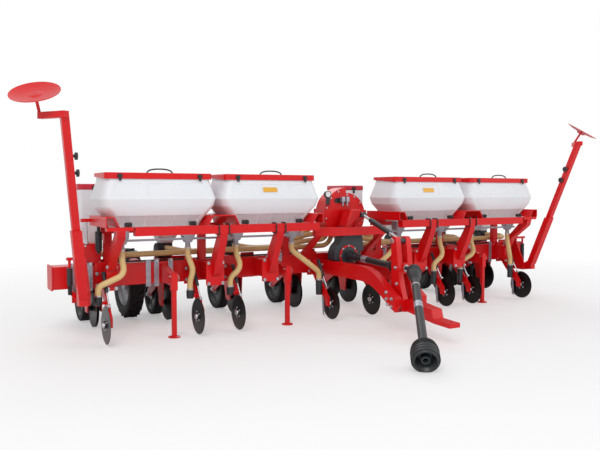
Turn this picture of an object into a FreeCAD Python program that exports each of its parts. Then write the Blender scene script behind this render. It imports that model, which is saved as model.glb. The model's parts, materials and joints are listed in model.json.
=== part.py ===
import FreeCAD, Part
import math
import os
import re
import Sketcher

# Eight row planter for maize and sunflower, on its parking jacks and drive wheels.
# Millimetres. X runs along the tool beam, with the left end negative, Y runs to the back
# and Z is up from the ground. Pieces are drawn from the front face of the beam, and each
# node is then moved back by frame_back, to put the origin under the middle of the machine.

SIZES = [
    ("row_spacing", 750, "one row to the next"),
    ("unit_offset", 170, "row units stand this far to the right of the even rows"),
    ("beam_size", 200, "tool beam, square section"),
    ("beam_wall", 10, "tool beam, wall"),
    ("beam_under", 468, "tool beam, underside above the ground"),
    ("beam_overhang", 297, "tool beam beyond the outer rows"),
    ("plate_thick", 12, "clamp plates on the beam"),
    ("seat_gap", 0.3, "gap where a round or loose piece seats"),
    ("hopper_length", 972, "fertiliser hopper, lid length"),
    ("hopper_gap", 126, "between the lids of two hoppers"),
    ("hopper_inner", 497, "machine centre to the first lid"),
    ("hopper_wall", 6, "moulded hopper wall"),
    ("hopper_bulge", 40, "hopper body beyond the lid at its widest"),
    ("hopper_foot", 1000, "hopper, floor of the trough"),
    ("hopper_waist", 1120, "hopper, where the funnel starts"),
    ("hopper_crease", 1262, "hopper, widest level"),
    ("trough_inset", 106, "hopper, floor ends inside the lid ends"),
    ("trough_depth", 230, "hopper, floor front to back"),
    ("lid_front", 416, "lid front edge ahead of the beam face"),
    ("lid_depth", 416, "lid, front to back"),
    ("lid_under", 1435, "lid, lower edge"),
    ("lid_height", 54, "lid, rim height"),
    ("lid_sheet", 3, "lid, sheet thickness"),
    ("rail_size", 77, "hopper rail, square section"),
    ("rail_under", 948, "hopper rail, underside"),
    ("rail_front", 524, "front hopper rail, front face ahead of the beam face"),
    ("rail_short", 225, "front hopper rail ends this far inside the outer lid end"),
    ("leg_width", 70, "hopper legs along the beam"),
    ("leg_reach", 300, "hopper leg brackets, length ahead of the beam face"),
    ("end_leg_reach", 170, "brackets of the end legs"),
    ("meter_spread", 305, "fertiliser meters either side of the hopper centre"),
    ("meter_width", 110, "fertiliser meter box"),
    ("meter_under", 862, "fertiliser meter box, underside"),
    ("meter_mid", 244, "meter centre ahead of the beam face"),
    ("shaft_radius", 10, "meter drive shaft"),
    ("shaft_height", 896, "meter drive shaft above the ground"),
    ("jack_inner", 750, "inner jacks from the machine centre"),
    ("jack_outer", 1928, "outer jacks from the machine centre"),
    ("jack_front", 288, "jacks ahead of the beam face"),
    ("jack_leg", 40, "jack leg, square section"),
    ("jack_reach", 580, "jack leg, top above the ground"),
    ("jack_foot", 56, "jack foot plate, radius"),
    ("opener_one", 255, "fertiliser discs from the machine centre"),
    ("opener_two", 1304, "second pair of discs"),
    ("opener_three", 1711, "third pair of discs"),
    ("opener_four", 2552, "outer pair of discs"),
    ("opener_side", 41, "disc beside its arm"),
    ("opener_reach", 326, "disc centre ahead of the beam face"),
    ("disc_radius", 165, "fertiliser disc"),
    ("disc_lift", 14, "fertiliser disc above the ground"),
    ("unit_wheel_radius", 220, "row unit depth wheel"),
    ("unit_wheel_width", 110, "row unit depth wheel"),
    ("unit_wheel_back", 965, "row unit depth wheel behind the beam face"),
    ("seed_disc_radius", 185, "seed opener discs"),
    ("seed_disc_back", 545, "seed opener discs behind the beam face"),
    ("seed_hopper_width", 300, "seed hopper along the beam"),
    ("seed_hopper_depth", 360, "seed hopper front to back"),
    ("seed_hopper_top", 1345, "seed hopper, rim above the ground"),
    ("seed_hopper_foot", 800, "seed hopper, outlet above the ground"),
    ("seed_back", 610, "seed hopper centre behind the beam face"),
    ("drive_wheel_left", 77, "left drive wheel, to the right of midway between its rows"),
    ("drive_wheel_right", 0, "right drive wheel, to the right of midway between its rows"),
    ("drive_wheel_radius", 365, "drive wheel with its tyre"),
    ("drive_wheel_width", 150, "drive wheel tyre"),
    ("drive_wheel_back", 915, "drive wheel centre behind the beam face"),
    ("marker_side", 2736, "marker pivot from the machine centre"),
    ("marker_front", 306, "marker pivot ahead of the beam face"),
    ("marker_pivot", 396, "marker pivot above the ground"),
    ("marker_ahead", 505, "marker arm, top ahead of the pivot"),
    ("marker_out", 226, "marker arm, top beyond the pivot"),
    ("marker_rise", 1534, "marker arm, top above the pivot"),
    ("marker_lever", 80, "marker lever, shaft to cylinder pin"),
    ("marker_tube", 80, "marker arm, lower tube"),
    ("marker_disc_radius", 190, "marker disc"),
    ("arm_spread", 150, "drawbar arms either side of the centre"),
    ("arm_height", 145, "drawbar arm, height"),
    ("arm_width", 80, "drawbar arm, width"),
    ("tongue_tip", 1870, "drawbar tip ahead of the beam face"),
    ("tongue_width", 120, "drawbar tongue, width"),
    ("hitch_hole", 32, "drawbar pin hole"),
    ("mast_gap", 64, "between the hitch mast plates"),
    ("mast_plate", 56, "hitch mast posts, width"),
    ("mast_top", 907, "hitch mast, top"),
    ("shaft_line", 614, "drive shaft bearing above the ground"),
    ("input_line", 655, "drive shaft at the fan drive above the ground"),
    ("fan_side", 100, "fan centre to the right of the machine centre"),
    ("fan_height", 1080, "fan centre above the ground"),
    ("fan_radius", 235, "fan housing, smallest radius"),
    ("fan_width", 180, "fan housing, front to back"),
    ("hose_radius", 27, "fertiliser hoses"),
    ("air_hose_radius", 27, "air hoses along the beam"),
    ("air_lane", 57, "one air hose to the next behind it"),
    ("air_level", 740, "air hoses over the beam, above the ground"),
    ("air_front", 95, "first air hose behind the beam face"),
    ("frame_back", 585, "beam face behind the middle of the outline on the ground"),
]

doc = FreeCAD.newDocument("row_crop_planter")
sheet = doc.addObject("Spreadsheet::Sheet", "dims")
for line, (name, size, note) in enumerate(SIZES, 1):
    sheet.set("A%d" % line, note)
    sheet.set("B%d" % line, str(size))
    sheet.setAlias("B%d" % line, name)
doc.recompute()
ALIASES = {name for name, size, note in SIZES}


def bound(text):
    """The same sum with every named size read from the sheet."""
    return re.sub(r"[a-z][a-z_]*", lambda w: "dims." + w[0] if w[0] in ALIASES else w[0], str(text))


def value(text):
    return float(sheet.evalExpression(bound(text)))


# ---- how the pieces are drawn ------------------------------------------------------

PLANES = {"x": ("YZ_Plane", 1), "y": ("XZ_Plane", -1), "z": ("XY_Plane", 1)}
nodes = []


def new_body(label):
    body = doc.addObject("PartDesign::Body", label)
    body.Label = label
    return body


def fix_point(profile, item, end, across, along):
    for kind, size in (("DistanceX", across), ("DistanceY", along)):
        row = profile.addConstraint(Sketcher.Constraint(kind, -1, 1, item, end, value(size)))
        profile.setExpression("Constraints[%d]" % row, bound(size))


def draw_polygon(profile, corners):
    first = profile.GeometryCount
    spots = [FreeCAD.Vector(value(a), value(b), 0) for a, b in corners]
    for spot, following in zip(spots, spots[1:] + spots[:1]):
        profile.addGeometry(Part.LineSegment(spot, following), False)
    for number, (across, along) in enumerate(corners):
        following = first + (number + 1) % len(corners)
        profile.addConstraint(Sketcher.Constraint("Coincident", first + number, 2, following, 1))
        fix_point(profile, first + number, 1, across, along)


def draw_circle(profile, across, along, radius):
    centre = FreeCAD.Vector(value(across), value(along), 0)
    item = profile.addGeometry(Part.Circle(centre, FreeCAD.Vector(0, 0, 1), value(radius)), False)
    fix_point(profile, item, 3, across, along)
    row = profile.addConstraint(Sketcher.Constraint("Radius", item, value(radius)))
    profile.setExpression("Constraints[%d]" % row, bound(radius))


def draw_rounded(profile, low_a, low_b, high_a, high_b, radius):
    """A rectangle with round corners: four sides, each pair joined by a quarter circle."""
    first = profile.GeometryCount
    sides = [
        (("%s+%s" % (low_a, radius), low_b), ("%s-%s" % (high_a, radius), low_b)),
        ((high_a, "%s+%s" % (low_b, radius)), (high_a, "%s-%s" % (high_b, radius))),
        (("%s-%s" % (high_a, radius), high_b), ("%s+%s" % (low_a, radius), high_b)),
        ((low_a, "%s-%s" % (high_b, radius)), (low_a, "%s+%s" % (low_b, radius))),
    ]
    for start, end in sides:
        spots = [FreeCAD.Vector(value(a), value(b), 0) for a, b in (start, end)]
        profile.addGeometry(Part.LineSegment(*spots), False)
    bend = value(radius)
    for number in range(4):
        corner = [value(high_a if number in (0, 1) else low_a), value(high_b if number in (1, 2) else low_b)]
        inward = [(-1 if number in (0, 1) else 1), (-1 if number in (1, 2) else 1)]
        centre = FreeCAD.Vector(corner[0] + inward[0] * bend, corner[1] + inward[1] * bend, 0)
        circle = Part.Circle(centre, FreeCAD.Vector(0, 0, 1), bend)
        turn = math.radians(90 * number - 90)
        profile.addGeometry(Part.ArcOfCircle(circle, turn, turn + math.pi / 2), False)
    for number, (start, end) in enumerate(sides):
        side, arc = first + number, first + 4 + number
        fix_point(profile, side, 1, *start)
        fix_point(profile, side, 2, *end)
        profile.addConstraint(Sketcher.Constraint("Coincident", side, 2, arc, 1))
        profile.addConstraint(Sketcher.Constraint("Coincident", arc, 2, first + (number + 1) % 4, 1))
        row = profile.addConstraint(Sketcher.Constraint("Radius", arc, bend))
        profile.setExpression("Constraints[%d]" % row, bound(radius))


def circle(across, along, radius):
    return ("circle", across, along, radius)


def rounded(low_a, low_b, high_a, high_b, radius):
    return ("rounded", low_a, low_b, high_a, high_b, radius)


def box(low_a, low_b, high_a, high_b):
    return [(low_a, low_b), (high_a, low_b), (high_a, high_b), (low_a, high_b)]


def sketch(body, role, outlines, offset):
    plane = [feature for feature in body.Origin.OriginFeatures if feature.Role == role][0]
    profile = body.newObject("Sketcher::SketchObject", "profile")
    profile.AttachmentSupport = [(plane, "")]
    profile.MapMode = "FlatFace"
    profile.setExpression("AttachmentOffset.Base.z", bound(offset))
    for outline in outlines:
        if outline[0] == "circle":
            draw_circle(profile, *outline[1:])
        elif outline[0] == "rounded":
            draw_rounded(profile, *outline[1:])
        else:
            draw_polygon(profile, outline)
    return profile


def extrude(kind, body, axis, outlines, low, high):
    role, sense = PLANES[axis]
    profile = sketch(body, role, outlines, low if sense > 0 else "-(%s)" % high)
    feature = body.newObject(kind, kind.split("::")[1].lower())
    feature.Profile = profile
    feature.setExpression("Length", bound("(%s)-(%s)" % (high, low)))
    return feature


def pad(body, axis, outlines, low, high):
    """Material between two levels of one axis; an outline gives the other two axes in order."""
    return extrude("PartDesign::Pad", body, axis, outlines, low, high)


def pocket(body, axis, outlines, low, high):
    feature = extrude("PartDesign::Pocket", body, axis, outlines, low, high)
    feature.Reversed = True
    return feature


def turned(body, axis, outline):
    """An outline of (along the axis, radius) spun about the body's own axis."""
    role, reference = {"x": ("XY_Plane", "H_Axis"), "y": ("YZ_Plane", "H_Axis"), "z": ("XZ_Plane", "V_Axis")}[axis]
    corners = [(radius, along) for along, radius in outline] if axis == "z" else outline
    profile = sketch(body, role, [corners], "0")
    feature = body.newObject("PartDesign::Revolution", "revolution")
    feature.Profile = profile
    feature.ReferenceAxis = (profile, [reference])
    feature.Angle = 360
    return feature


def loft(kind, body, levels):
    """Straight walls between outlines at rising heights."""
    profiles = [sketch(body, "XY_Plane", [outline], height) for height, outline in levels]
    feature = body.newObject(kind, "loft")
    feature.Profile = profiles[0]
    feature.Sections = profiles[1:]
    feature.Ruled = True
    return feature


def placed(piece, across="0", along="0", height="0", turn=None):
    """A copy of a piece at its place; turn is an axis and its degrees."""
    copy = doc.addObject("App::Link", piece.Name + "_copy")
    copy.LinkedObject = piece
    if turn:
        copy.Placement = FreeCAD.Placement(FreeCAD.Vector(), FreeCAD.Rotation(FreeCAD.Vector(*turn[0]), value(turn[1])))
    for letter, size in zip("xyz", (across, along, height)):
        copy.setExpression("Placement.Base." + letter, bound(size))
    return copy


def distance(foot, tip):
    return math.dist([value(size) for size in foot], [value(size) for size in tip])


def aimed(piece, foot, tip):
    """A copy of a piece whose own Z axis points from one spot to another."""
    spots = [FreeCAD.Vector(*[value(size) for size in spot]) for spot in (foot, tip)]
    copy = doc.addObject("App::Link", piece.Name + "_copy")
    copy.LinkedObject = piece
    copy.Placement = FreeCAD.Placement(spots[0], FreeCAD.Rotation(FreeCAD.Vector(0, 0, 1), spots[1] - spots[0]))
    return copy


def spindle(body, foot, tip, radius):
    """A round bar from one spot to another, at any slant, added to the body."""
    spots = [FreeCAD.Vector(*[value(size) for size in spot]) for spot in (foot, tip)]
    profile = sketch(body, "XY_Plane", [circle("0", "0", radius)], "0")
    profile.setExpression("AttachmentOffset.Base.z", None)
    slant = FreeCAD.Rotation(FreeCAD.Vector(0, 0, 1), spots[1] - spots[0])
    profile.AttachmentOffset = FreeCAD.Placement(spots[0], slant)
    bar = body.newObject("PartDesign::Pad", "spindle")
    bar.Profile = profile
    bar.Length = (spots[1] - spots[0]).Length
    return bar


def mirrored(piece):
    """The piece of the other side of the machine."""
    other = doc.addObject("Part::Mirroring", piece.Name + "_mirrored")
    other.Source = piece
    other.Normal = FreeCAD.Vector(1, 0, 0)
    return other


def keep(label, piece):
    piece.Label = label
    piece.setExpression("Placement.Base.y", bound("frame_back"))
    nodes.append(piece)


def node(label, *pieces):
    if len(pieces) == 1 and pieces[0].TypeId == "PartDesign::Body":
        keep(label, pieces[0])
        return
    group = doc.addObject("Part::Compound", label)
    group.Links = list(pieces)
    keep(label, group)


def route(points, radius):
    """A round hose on straight runs joined by tangent arcs, as large as the runs allow."""
    spots = [FreeCAD.Vector(*[value(size) for size in point]) for point in points]
    edges = []
    start = spots[0]
    for before, corner, after in zip(spots, spots[1:], spots[2:]):
        back, ahead = (before - corner), (after - corner)
        half = (math.pi - back.getAngle(ahead)) / 2
        reach = 0.45 * min(back.Length, ahead.Length)
        bend = reach / math.tan(half)
        back.normalize()
        ahead.normalize()
        entry, leaving = corner + back * reach, corner + ahead * reach
        middle = (back + ahead).normalize()
        top = corner + middle * (bend / math.cos(half) - bend)
        edges.append(Part.LineSegment(start, entry).toShape())
        edges.append(Part.Arc(entry, top, leaving).toShape())
        start = leaving
    edges.append(Part.LineSegment(start, spots[-1]).toShape())
    path = Part.Wire(edges)
    direction = spots[1] - spots[0]
    ring = Part.Wire([Part.makeCircle(value(radius), spots[0], direction)])
    solid = path.makePipeShell([ring], True, False)
    expected = math.pi * value(radius) ** 2 * path.Length
    if abs(solid.Volume / expected - 1) > 0.01:
        raise ValueError("hose volume %.0f, section times length %.0f" % (solid.Volume, expected))
    return solid


def hoses(label, routes, radius):
    group = doc.addObject("Part::Feature", label)
    group.Shape = Part.makeCompound([route(points, radius) for points in routes])
    keep(label, group)


# ---- sizes that several pieces share -------------------------------------------------

beam_half = "(3.5*row_spacing+beam_overhang)"
beam_top = "(beam_under+beam_size)"
front_face = "-plate_thick"
back_face = "(beam_size+plate_thick)"
hopper_first = "(hopper_inner+hopper_length/2)"
hopper_second = "(hopper_inner+hopper_length*1.5+hopper_gap)"
hopper_mid = "(lid_depth/2-lid_front)"
saddle_mid = "(hopper_inner+hopper_length+hopper_gap/2)"
hopper_places = ["-" + hopper_second, "-" + hopper_first, hopper_first, hopper_second]
unit_places = ["((%s)*row_spacing+unit_offset)" % (number - 3.5) for number in range(8)]
opener_names = ["opener_four", "opener_three", "opener_two", "opener_one"]
arm_places = ["(%s-opener_side)" % name for name in opener_names[:3]] + ["(opener_one+opener_side)"]
port_side, port_height, port_reach = "20", "(%s+110)" % "(beam_under+176)", "130"
rail_top = "(rail_under+rail_size)"
frame_top = "(beam_under+176)"
boot_side, boot_front, boot_top = "(12+hose_radius+3+seat_gap)", "-224", "(beam_under-56)"
boot_beyond = "(opener_side+hose_radius+11)"
wheel_places = ["(unit_offset+drive_wheel_left-3*row_spacing)", "(unit_offset+drive_wheel_right+3*row_spacing)"]
rail_end = "(hopper_inner+2*hopper_length+hopper_gap-rail_short)"
end_leg_place = "(%s+118)" % rail_end
meter_places = ["(%s%smeter_spread)" % (place, sign) for place in hopper_places for sign in "-+"]

# ---- tool beam -------------------------------------------------------------------------


def tool_beam():
    body = new_body("main_beam")
    outer = box("0", "beam_under", "beam_size", beam_top)
    inner = box("beam_wall", "beam_under+beam_wall", "beam_size-beam_wall", beam_top + "-beam_wall")
    pad(body, "x", [outer, inner], "-" + beam_half, beam_half)
    node("main_beam", body)


def beam_plates():
    plate = new_body("clamp_plate")
    pad(plate, "y", [box("-55", "beam_under-24", "55", beam_top + "+24")], front_face, "0")
    corners = [(side, level) for side in ("-38", "38") for level in ("beam_under+18", "beam_under+124")]
    pad(plate, "y", [circle(side, level, "11") for side, level in corners], front_face + "-9", front_face)
    cap = new_body("end_plate")
    pad(cap, "x", [rounded("-10", "beam_under-10", "beam_size+10", beam_top + "+10", "20")], "0", "plate_thick")
    plates = [placed(plate, sign + place) for sign in ("-", "") for place in arm_places]
    ends = [placed(cap, beam_half), placed(cap, "-%s-plate_thick" % beam_half)]
    node("beam_plates", *(plates + ends))


def beam_straps():
    strap = new_body("strap")
    pad(strap, "y", [box("-23", "beam_under-26", "23", beam_top + "+26")], "-8", "0")
    for level in ("beam_under-14", beam_top + "+14"):
        pad(strap, "y", [circle("0", level, "8")], "-20", "-8")
    places = ["marker_side-128", "marker_side+25", "jack_outer-69", "jack_outer+69", "jack_inner-69", "jack_inner+69"]
    straps = [placed(strap, sign + "(%s)" % place) for sign in ("-", "") for place in places]
    straps += [placed(strap, place + "-72") for place in wheel_places]
    node("beam_straps", *straps)


# ---- fertiliser hoppers -----------------------------------------------------------------


def hopper_levels(inset, floor):
    """The outlines of the hopper shell from its floor to its mouth."""
    levels = [
        (floor, "(hopper_length/2-trough_inset)", "trough_depth/2", "30"),
        ("hopper_waist", "hopper_length/2-46", "lid_depth/2", "50"),
        ("(hopper_waist+hopper_crease)/2", "hopper_length/2+hopper_bulge*0.4", "lid_depth/2+hopper_bulge*0.65", "70"),
        ("hopper_crease", "hopper_length/2+hopper_bulge", "lid_depth/2+hopper_bulge", "80"),
        ("lid_under-8", "hopper_length/2-10", "lid_depth/2-10", "60"),
    ]
    return [
        (height, rounded("-(%s-%s)" % (half, inset), "%s-(%s-%s)" % (hopper_mid, deep, inset),
                         "(%s-%s)" % (half, inset), "%s+(%s-%s)" % (hopper_mid, deep, inset), bend))
        for height, half, deep, bend in levels
    ]


def fertiliser_hoppers():
    shell = new_body("hopper_shell")
    loft("PartDesign::AdditiveLoft", shell, hopper_levels("0", "hopper_foot"))
    loft("PartDesign::SubtractiveLoft", shell, hopper_levels("hopper_wall", "hopper_foot+hopper_wall"))
    rim = ["-(hopper_length/2-%s)", hopper_mid + "-(lid_depth/2-%s)", "hopper_length/2-%s", hopper_mid + "+(lid_depth/2-%s)"]
    ring = [rounded(*[side % inset for side in rim] + ["50"]) for inset in ("10", "16")]
    pad(shell, "z", ring, "lid_under-8", "lid_under+lid_height-lid_sheet-seat_gap")
    for side in ("-", ""):
        pocket(shell, "z", [circle(side + "meter_spread", "-meter_mid", "30")], "hopper_foot", "hopper_foot+hopper_wall")
    node("fertiliser_hoppers", *[placed(shell, place) for place in hopper_places])


def hopper_lids():
    lid = new_body("hopper_lid")
    outer = rounded("-hopper_length/2", "-lid_front", "hopper_length/2", "lid_depth-lid_front", "44")
    inner = rounded("-(hopper_length/2-lid_sheet)", "-(lid_front-lid_sheet)", "hopper_length/2-lid_sheet",
                    "lid_depth-lid_front-lid_sheet", "41")
    pad(lid, "z", [outer, inner], "lid_under", "lid_under+lid_height-lid_sheet")
    pad(lid, "z", [outer], "lid_under+lid_height-lid_sheet", "lid_under+lid_height")
    back = "lid_depth-lid_front+1"
    rising = [("-lid_front+60", "lid_under-1"), (back, "lid_under-1"), (back, "lid_under+lid_height/2-2")]
    pocket(lid, "x", [rising], "-(hopper_length/2+1)", "hopper_length/2+1")
    handle_top = "lid_under+lid_height+34"
    for side in ("-", ""):
        pad(lid, "z", [circle(side + "110", "-lid_front+34", "7")], "lid_under+lid_height", handle_top)
    pad(lid, "x", [circle("-lid_front+34", handle_top, "7")], "-117", "117")
    for side in ("-", ""):
        low, high = ("-330", "-270") if side else ("270", "330")
        leaf = box("lid_depth-lid_front", "lid_under+lid_height/2", "lid_depth-lid_front+16", "lid_under+lid_height/2+6")
        pad(lid, "x", [leaf], low, high)
    for number, place in enumerate(hopper_places, 1):
        node("hopper_lid_%d" % number, placed(lid, place))


def hopper_rails():
    front = new_body("front_rail")
    front_box = box("-rail_front", "rail_under", "-rail_front+rail_size", rail_top)
    pad(front, "x", [front_box], "hopper_inner+20", rail_end)
    back = new_body("back_rail")
    pad(back, "x", [box("0", "rail_under", "60", rail_top)], "hopper_inner+20", hopper_second + "+hopper_length/2-60")
    stub = new_body("end_stub")
    pad(stub, "x", [box("-rail_front", rail_top + "-30", "-rail_front+rail_size", rail_top)],
        rail_end + "+18", rail_end + "+238")
    pieces = [front, back, stub]
    return [placed(piece) for piece in pieces] + [mirrored(piece) for piece in pieces]


def hopper_leg(label, reach, foot, top, half, boxes):
    """Bracket from the beam to a bolted face plate, and the post that leans from it up to the front rail."""
    leg = new_body(label)
    face = "-%s-plate_thick" % reach
    for low, high, back in boxes:
        pad(leg, "x", [box("-" + reach, "beam_under+20", back, beam_top + "-12")], low, high)
    pad(leg, "y", [rounded("-" + half, "beam_under-16", half, beam_top + "+16", "14")], face, "-" + reach)
    post = [(face, foot), (face, beam_top + "+70"), ("-rail_front+rail_size", top), ("-rail_front", top),
            ("-rail_front+18", top + "-70"), (face + "-90", foot + "+120"), (face + "-40", foot + "+20")]
    pad(leg, "x", [post], "-leg_width/2", "leg_width/2")
    corners = [(side + half + "*0.78", level) for side in ("-", "") for level in ("beam_under+4", beam_top + "-4")]
    pad(leg, "y", [circle(across, level, "9") for across, level in corners], face + "-9", face)
    return leg


def hopper_legs():
    side = "leg_width/2"
    leg = hopper_leg("hopper_leg", "leg_reach", "beam_under+70", "rail_under", "90", [("-" + side, side, "0")])
    beside_plate = [("-" + side, "-6", "0"), ("-" + side, side, front_face + "-13")]
    end_leg = hopper_leg("end_leg", "end_leg_reach", beam_top + "-40", rail_top + "-30", "45", beside_plate)
    post = new_body("back_post")
    pad(post, "x", [box("0", beam_top, "60", "rail_under")], "-" + side, side)
    fronts = [placed(leg, sign + place) for sign in ("-", "") for place in (saddle_mid, "(hopper_inner+453)")]
    ends = [placed(end_leg, end_leg_place), placed(mirrored(end_leg), "-" + end_leg_place)]
    backs = [placed(post, sign + place) for sign in ("-", "")
             for place in (saddle_mid, "(hopper_inner+100)", "(%s+100)" % rail_end)]
    return fronts + ends + backs


def hopper_saddles():
    """Folded sheet bridges that carry the hopper ends on the two rails."""
    slope = "((trough_inset-46)/(hopper_waist-hopper_foot))"
    half = "(hopper_gap/2+trough_inset-%s*(%s-hopper_foot)-seat_gap)"
    low, high = half % (slope, rail_top), half % (slope, "(hopper_waist-6)")
    saddles = []
    for label, left_low, left_high in (("saddle", "-" + low, "-" + high), ("end_saddle", "40", "40")):
        saddle = new_body(label)
        outer = [(left_low, rail_top), (low, rail_top), (high, "hopper_waist-6"), (left_high, "hopper_waist-6")]
        inner = [(left_low + "+8", rail_top), (low + "-8", rail_top), (high + "-8", "hopper_waist-14"),
                 (left_high + "+8", "hopper_waist-14")]
        pad(saddle, "y", [outer], "-rail_front", "60")
        pocket(saddle, "y", [inner], "-rail_front", "60")
        saddles.append(saddle)
    whole, end = saddles
    inner, outer = "(hopper_inner-hopper_gap/2)", "(%s+hopper_length+hopper_gap)" % saddle_mid
    return [placed(whole, saddle_mid), placed(whole, "-" + saddle_mid), placed(end, inner), placed(end, "-" + outer),
            placed(mirrored(end), "-" + inner), placed(mirrored(end), outer)]


def hopper_stand():
    node("hopper_stand", *(hopper_rails() + hopper_legs() + hopper_saddles()))


def fertiliser_meters():
    meter = new_body("meter")
    half = "meter_width/2"
    levels = [("meter_under", "33", "33", "14"), ("meter_under+60", half, "55", "14"), ("hopper_foot", half, "55", "14")]
    loft("PartDesign::AdditiveLoft", meter,
         [(height, rounded("-" + wide, "-meter_mid-" + deep, wide, "-meter_mid+" + deep, bend))
          for height, wide, deep, bend in levels])
    pad(meter, "z", [circle("0", "-meter_mid", "hose_radius-3")], "meter_under-40", "meter_under")
    pocket(meter, "x", [circle("-meter_mid-30", "shaft_height", "shaft_radius+0.05")], "-" + half, half)
    shaft = new_body("meter_shaft")
    pad(shaft, "x", [circle("-meter_mid-30", "shaft_height", "shaft_radius")],
        hopper_first + "-meter_spread-120", hopper_second + "+meter_spread+90")
    meters = [placed(meter, place) for place in meter_places]
    node("fertiliser_meters", *(meters + [placed(shaft), mirrored(shaft)]))


# ---- jacks -----------------------------------------------------------------------------


def jacks():
    sleeve = new_body("jack_sleeve")
    wall = "(jack_leg/2+8)"
    bore = "(jack_leg/2+0.5)"
    outer = box("-" + wall, "-jack_front-" + wall, wall, "-jack_front+" + wall)
    inner = box("-" + bore, "-jack_front-" + bore, bore, "-jack_front+" + bore)
    pad(sleeve, "z", [outer, inner], "beam_under-38", "beam_under+122")
    bracket = [("-jack_front+" + wall, "beam_under+12"), ("0", "beam_under+12"), ("0", beam_top + "-20"),
               ("-jack_front+" + wall, "beam_under+112")]
    pad(sleeve, "x", [bracket], "-30", "30")
    places = ["-jack_outer", "-jack_inner", "jack_inner", "jack_outer"]
    node("jack_sleeves", *[placed(sleeve, place) for place in places])
    leg = new_body("jack_leg")
    half = "jack_leg/2"
    pad(leg, "z", [box("-" + half, "-jack_front-" + half, half, "-jack_front+" + half)], "10", "jack_reach")
    pad(leg, "z", [circle("0", "-jack_front", "jack_foot")], "0", "10")
    for number, place in enumerate(places, 1):
        node("jack_leg_%d" % number, placed(leg, place))


# ---- fertiliser openers -------------------------------------------------------------------


def fertiliser_openers():
    arm = new_body("opener_arm")
    hub = "(disc_radius+disc_lift)"
    tip = "-opener_reach"
    outline = [(front_face, "beam_under+30"), (front_face, "beam_under+140"), ("-90", "beam_under+140"),
               ("-150", "disc_lift+2*disc_radius+114"), (tip + "+30", hub + "+120"), (tip + "-26", hub + "+60"), (tip + "-26", hub + "-24"),
               (tip + "+24", hub + "-24"), (tip + "+40", hub + "+40"), ("-130", "beam_under-110")]
    pad(arm, "x", [outline], "-12", "12")
    pad(arm, "x", [circle(tip, hub, "12")], "-opener_side-22", "-12")
    boot = new_body("opener_boot")
    pad(boot, "z", [circle(boot_side, boot_front, "hose_radius+3")], "262", boot_top)
    disc = new_body("fertiliser_disc")
    turned(disc, "x", [("-18", "12.3"), ("18", "12.3"), ("18", "34"), ("6", "40"), ("2.5", "60"), ("2.5", "disc_radius-20"),
                       ("0.5", "disc_radius"), ("-0.5", "disc_radius"), ("-2.5", "disc_radius-20"), ("-2.5", "60"),
                       ("-6", "40"), ("-18", "34")])
    far_boot = new_body("far_boot")
    over_disc = "disc_lift+2*disc_radius"
    pad(far_boot, "z", [circle("-" + boot_beyond, boot_front, "hose_radius+3")], over_disc + "-9", boot_top)
    stay = box(boot_front + "-14", over_disc + "+1", boot_front + "+14", over_disc + "+27")
    pad(far_boot, "x", [stay], "-" + boot_beyond, "-12")
    inner_arm = mirrored(arm)
    pieces = [placed(shape, "-" + place) for place in arm_places[:3] for shape in (arm, far_boot)]
    pieces += [placed(shape, place) for place in arm_places[:3] for shape in (inner_arm, mirrored(boot))]
    pieces += [placed(shape, "-" + arm_places[3]) for shape in (inner_arm, mirrored(boot))]
    pieces += [placed(shape, arm_places[3]) for shape in (arm, boot)]
    node("opener_arms", *pieces)
    for number, place in enumerate([sign + name for sign in ("-", "") for name in opener_names], 1):
        node("fertiliser_disc_%d" % number, placed(disc, place, tip, hub))


# ---- row units ----------------------------------------------------------------------------


def unit_head():
    head = new_body("unit_head")
    pad(head, "y", [box("-75", "beam_under-30", "75", beam_top + "+30")], "beam_size", back_face)
    for low, high in (("-70", "-60"), ("60", "70")):
        ear = box(back_face, "beam_under-10", back_face + "+52", beam_top + "-10")
        pad(head, "x", [ear], low, high)
    return head


def parallel_links():
    links = []
    for level in ("beam_under+32", "beam_under+146"):
        for low, high in (("-59.7", "-47.7"), ("47.7", "59.7")):
            link = new_body("parallel_link")
            near, far = back_face + "+14", back_face + "+300"
            bar = [(near, level + "-20"), (near, level + "+20"), (far, level + "-4"), (far, level + "-44")]
            pad(link, "x", [bar], low, high)
            links.append(link)
    return links


def unit_frame():
    """Two side plates from the linkage back to the depth wheel, tied above the opener."""
    frame = new_body("unit_frame")
    front = back_face + "+258"
    side = [(front, "beam_under-44"), (front, frame_top), ("seed_back+150", frame_top),
            ("seed_back+150", "beam_under+20"), ("unit_wheel_back+28", "unit_wheel_radius+40"),
            ("unit_wheel_back+28", "unit_wheel_radius-28"), ("unit_wheel_back-28", "unit_wheel_radius-28"),
            ("seed_disc_back+110", "beam_under-110"), ("seed_disc_back+50", "seed_disc_radius-30"),
            ("seed_disc_back-50", "seed_disc_radius-30")]
    for low, high in (("-72", "-60"), ("60", "72")):
        pad(frame, "x", [side], low, high)
    pad(frame, "x", [box(front, frame_top + "-26", "seed_back+150", frame_top)], "-60", "60")
    pad(frame, "x", [box("seed_back+138", "beam_under+40", "seed_back+150", frame_top)], "-60", "60")
    pad(frame, "x", [circle("unit_wheel_back", "unit_wheel_radius", "12")], "-60", "60")
    return frame


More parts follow.
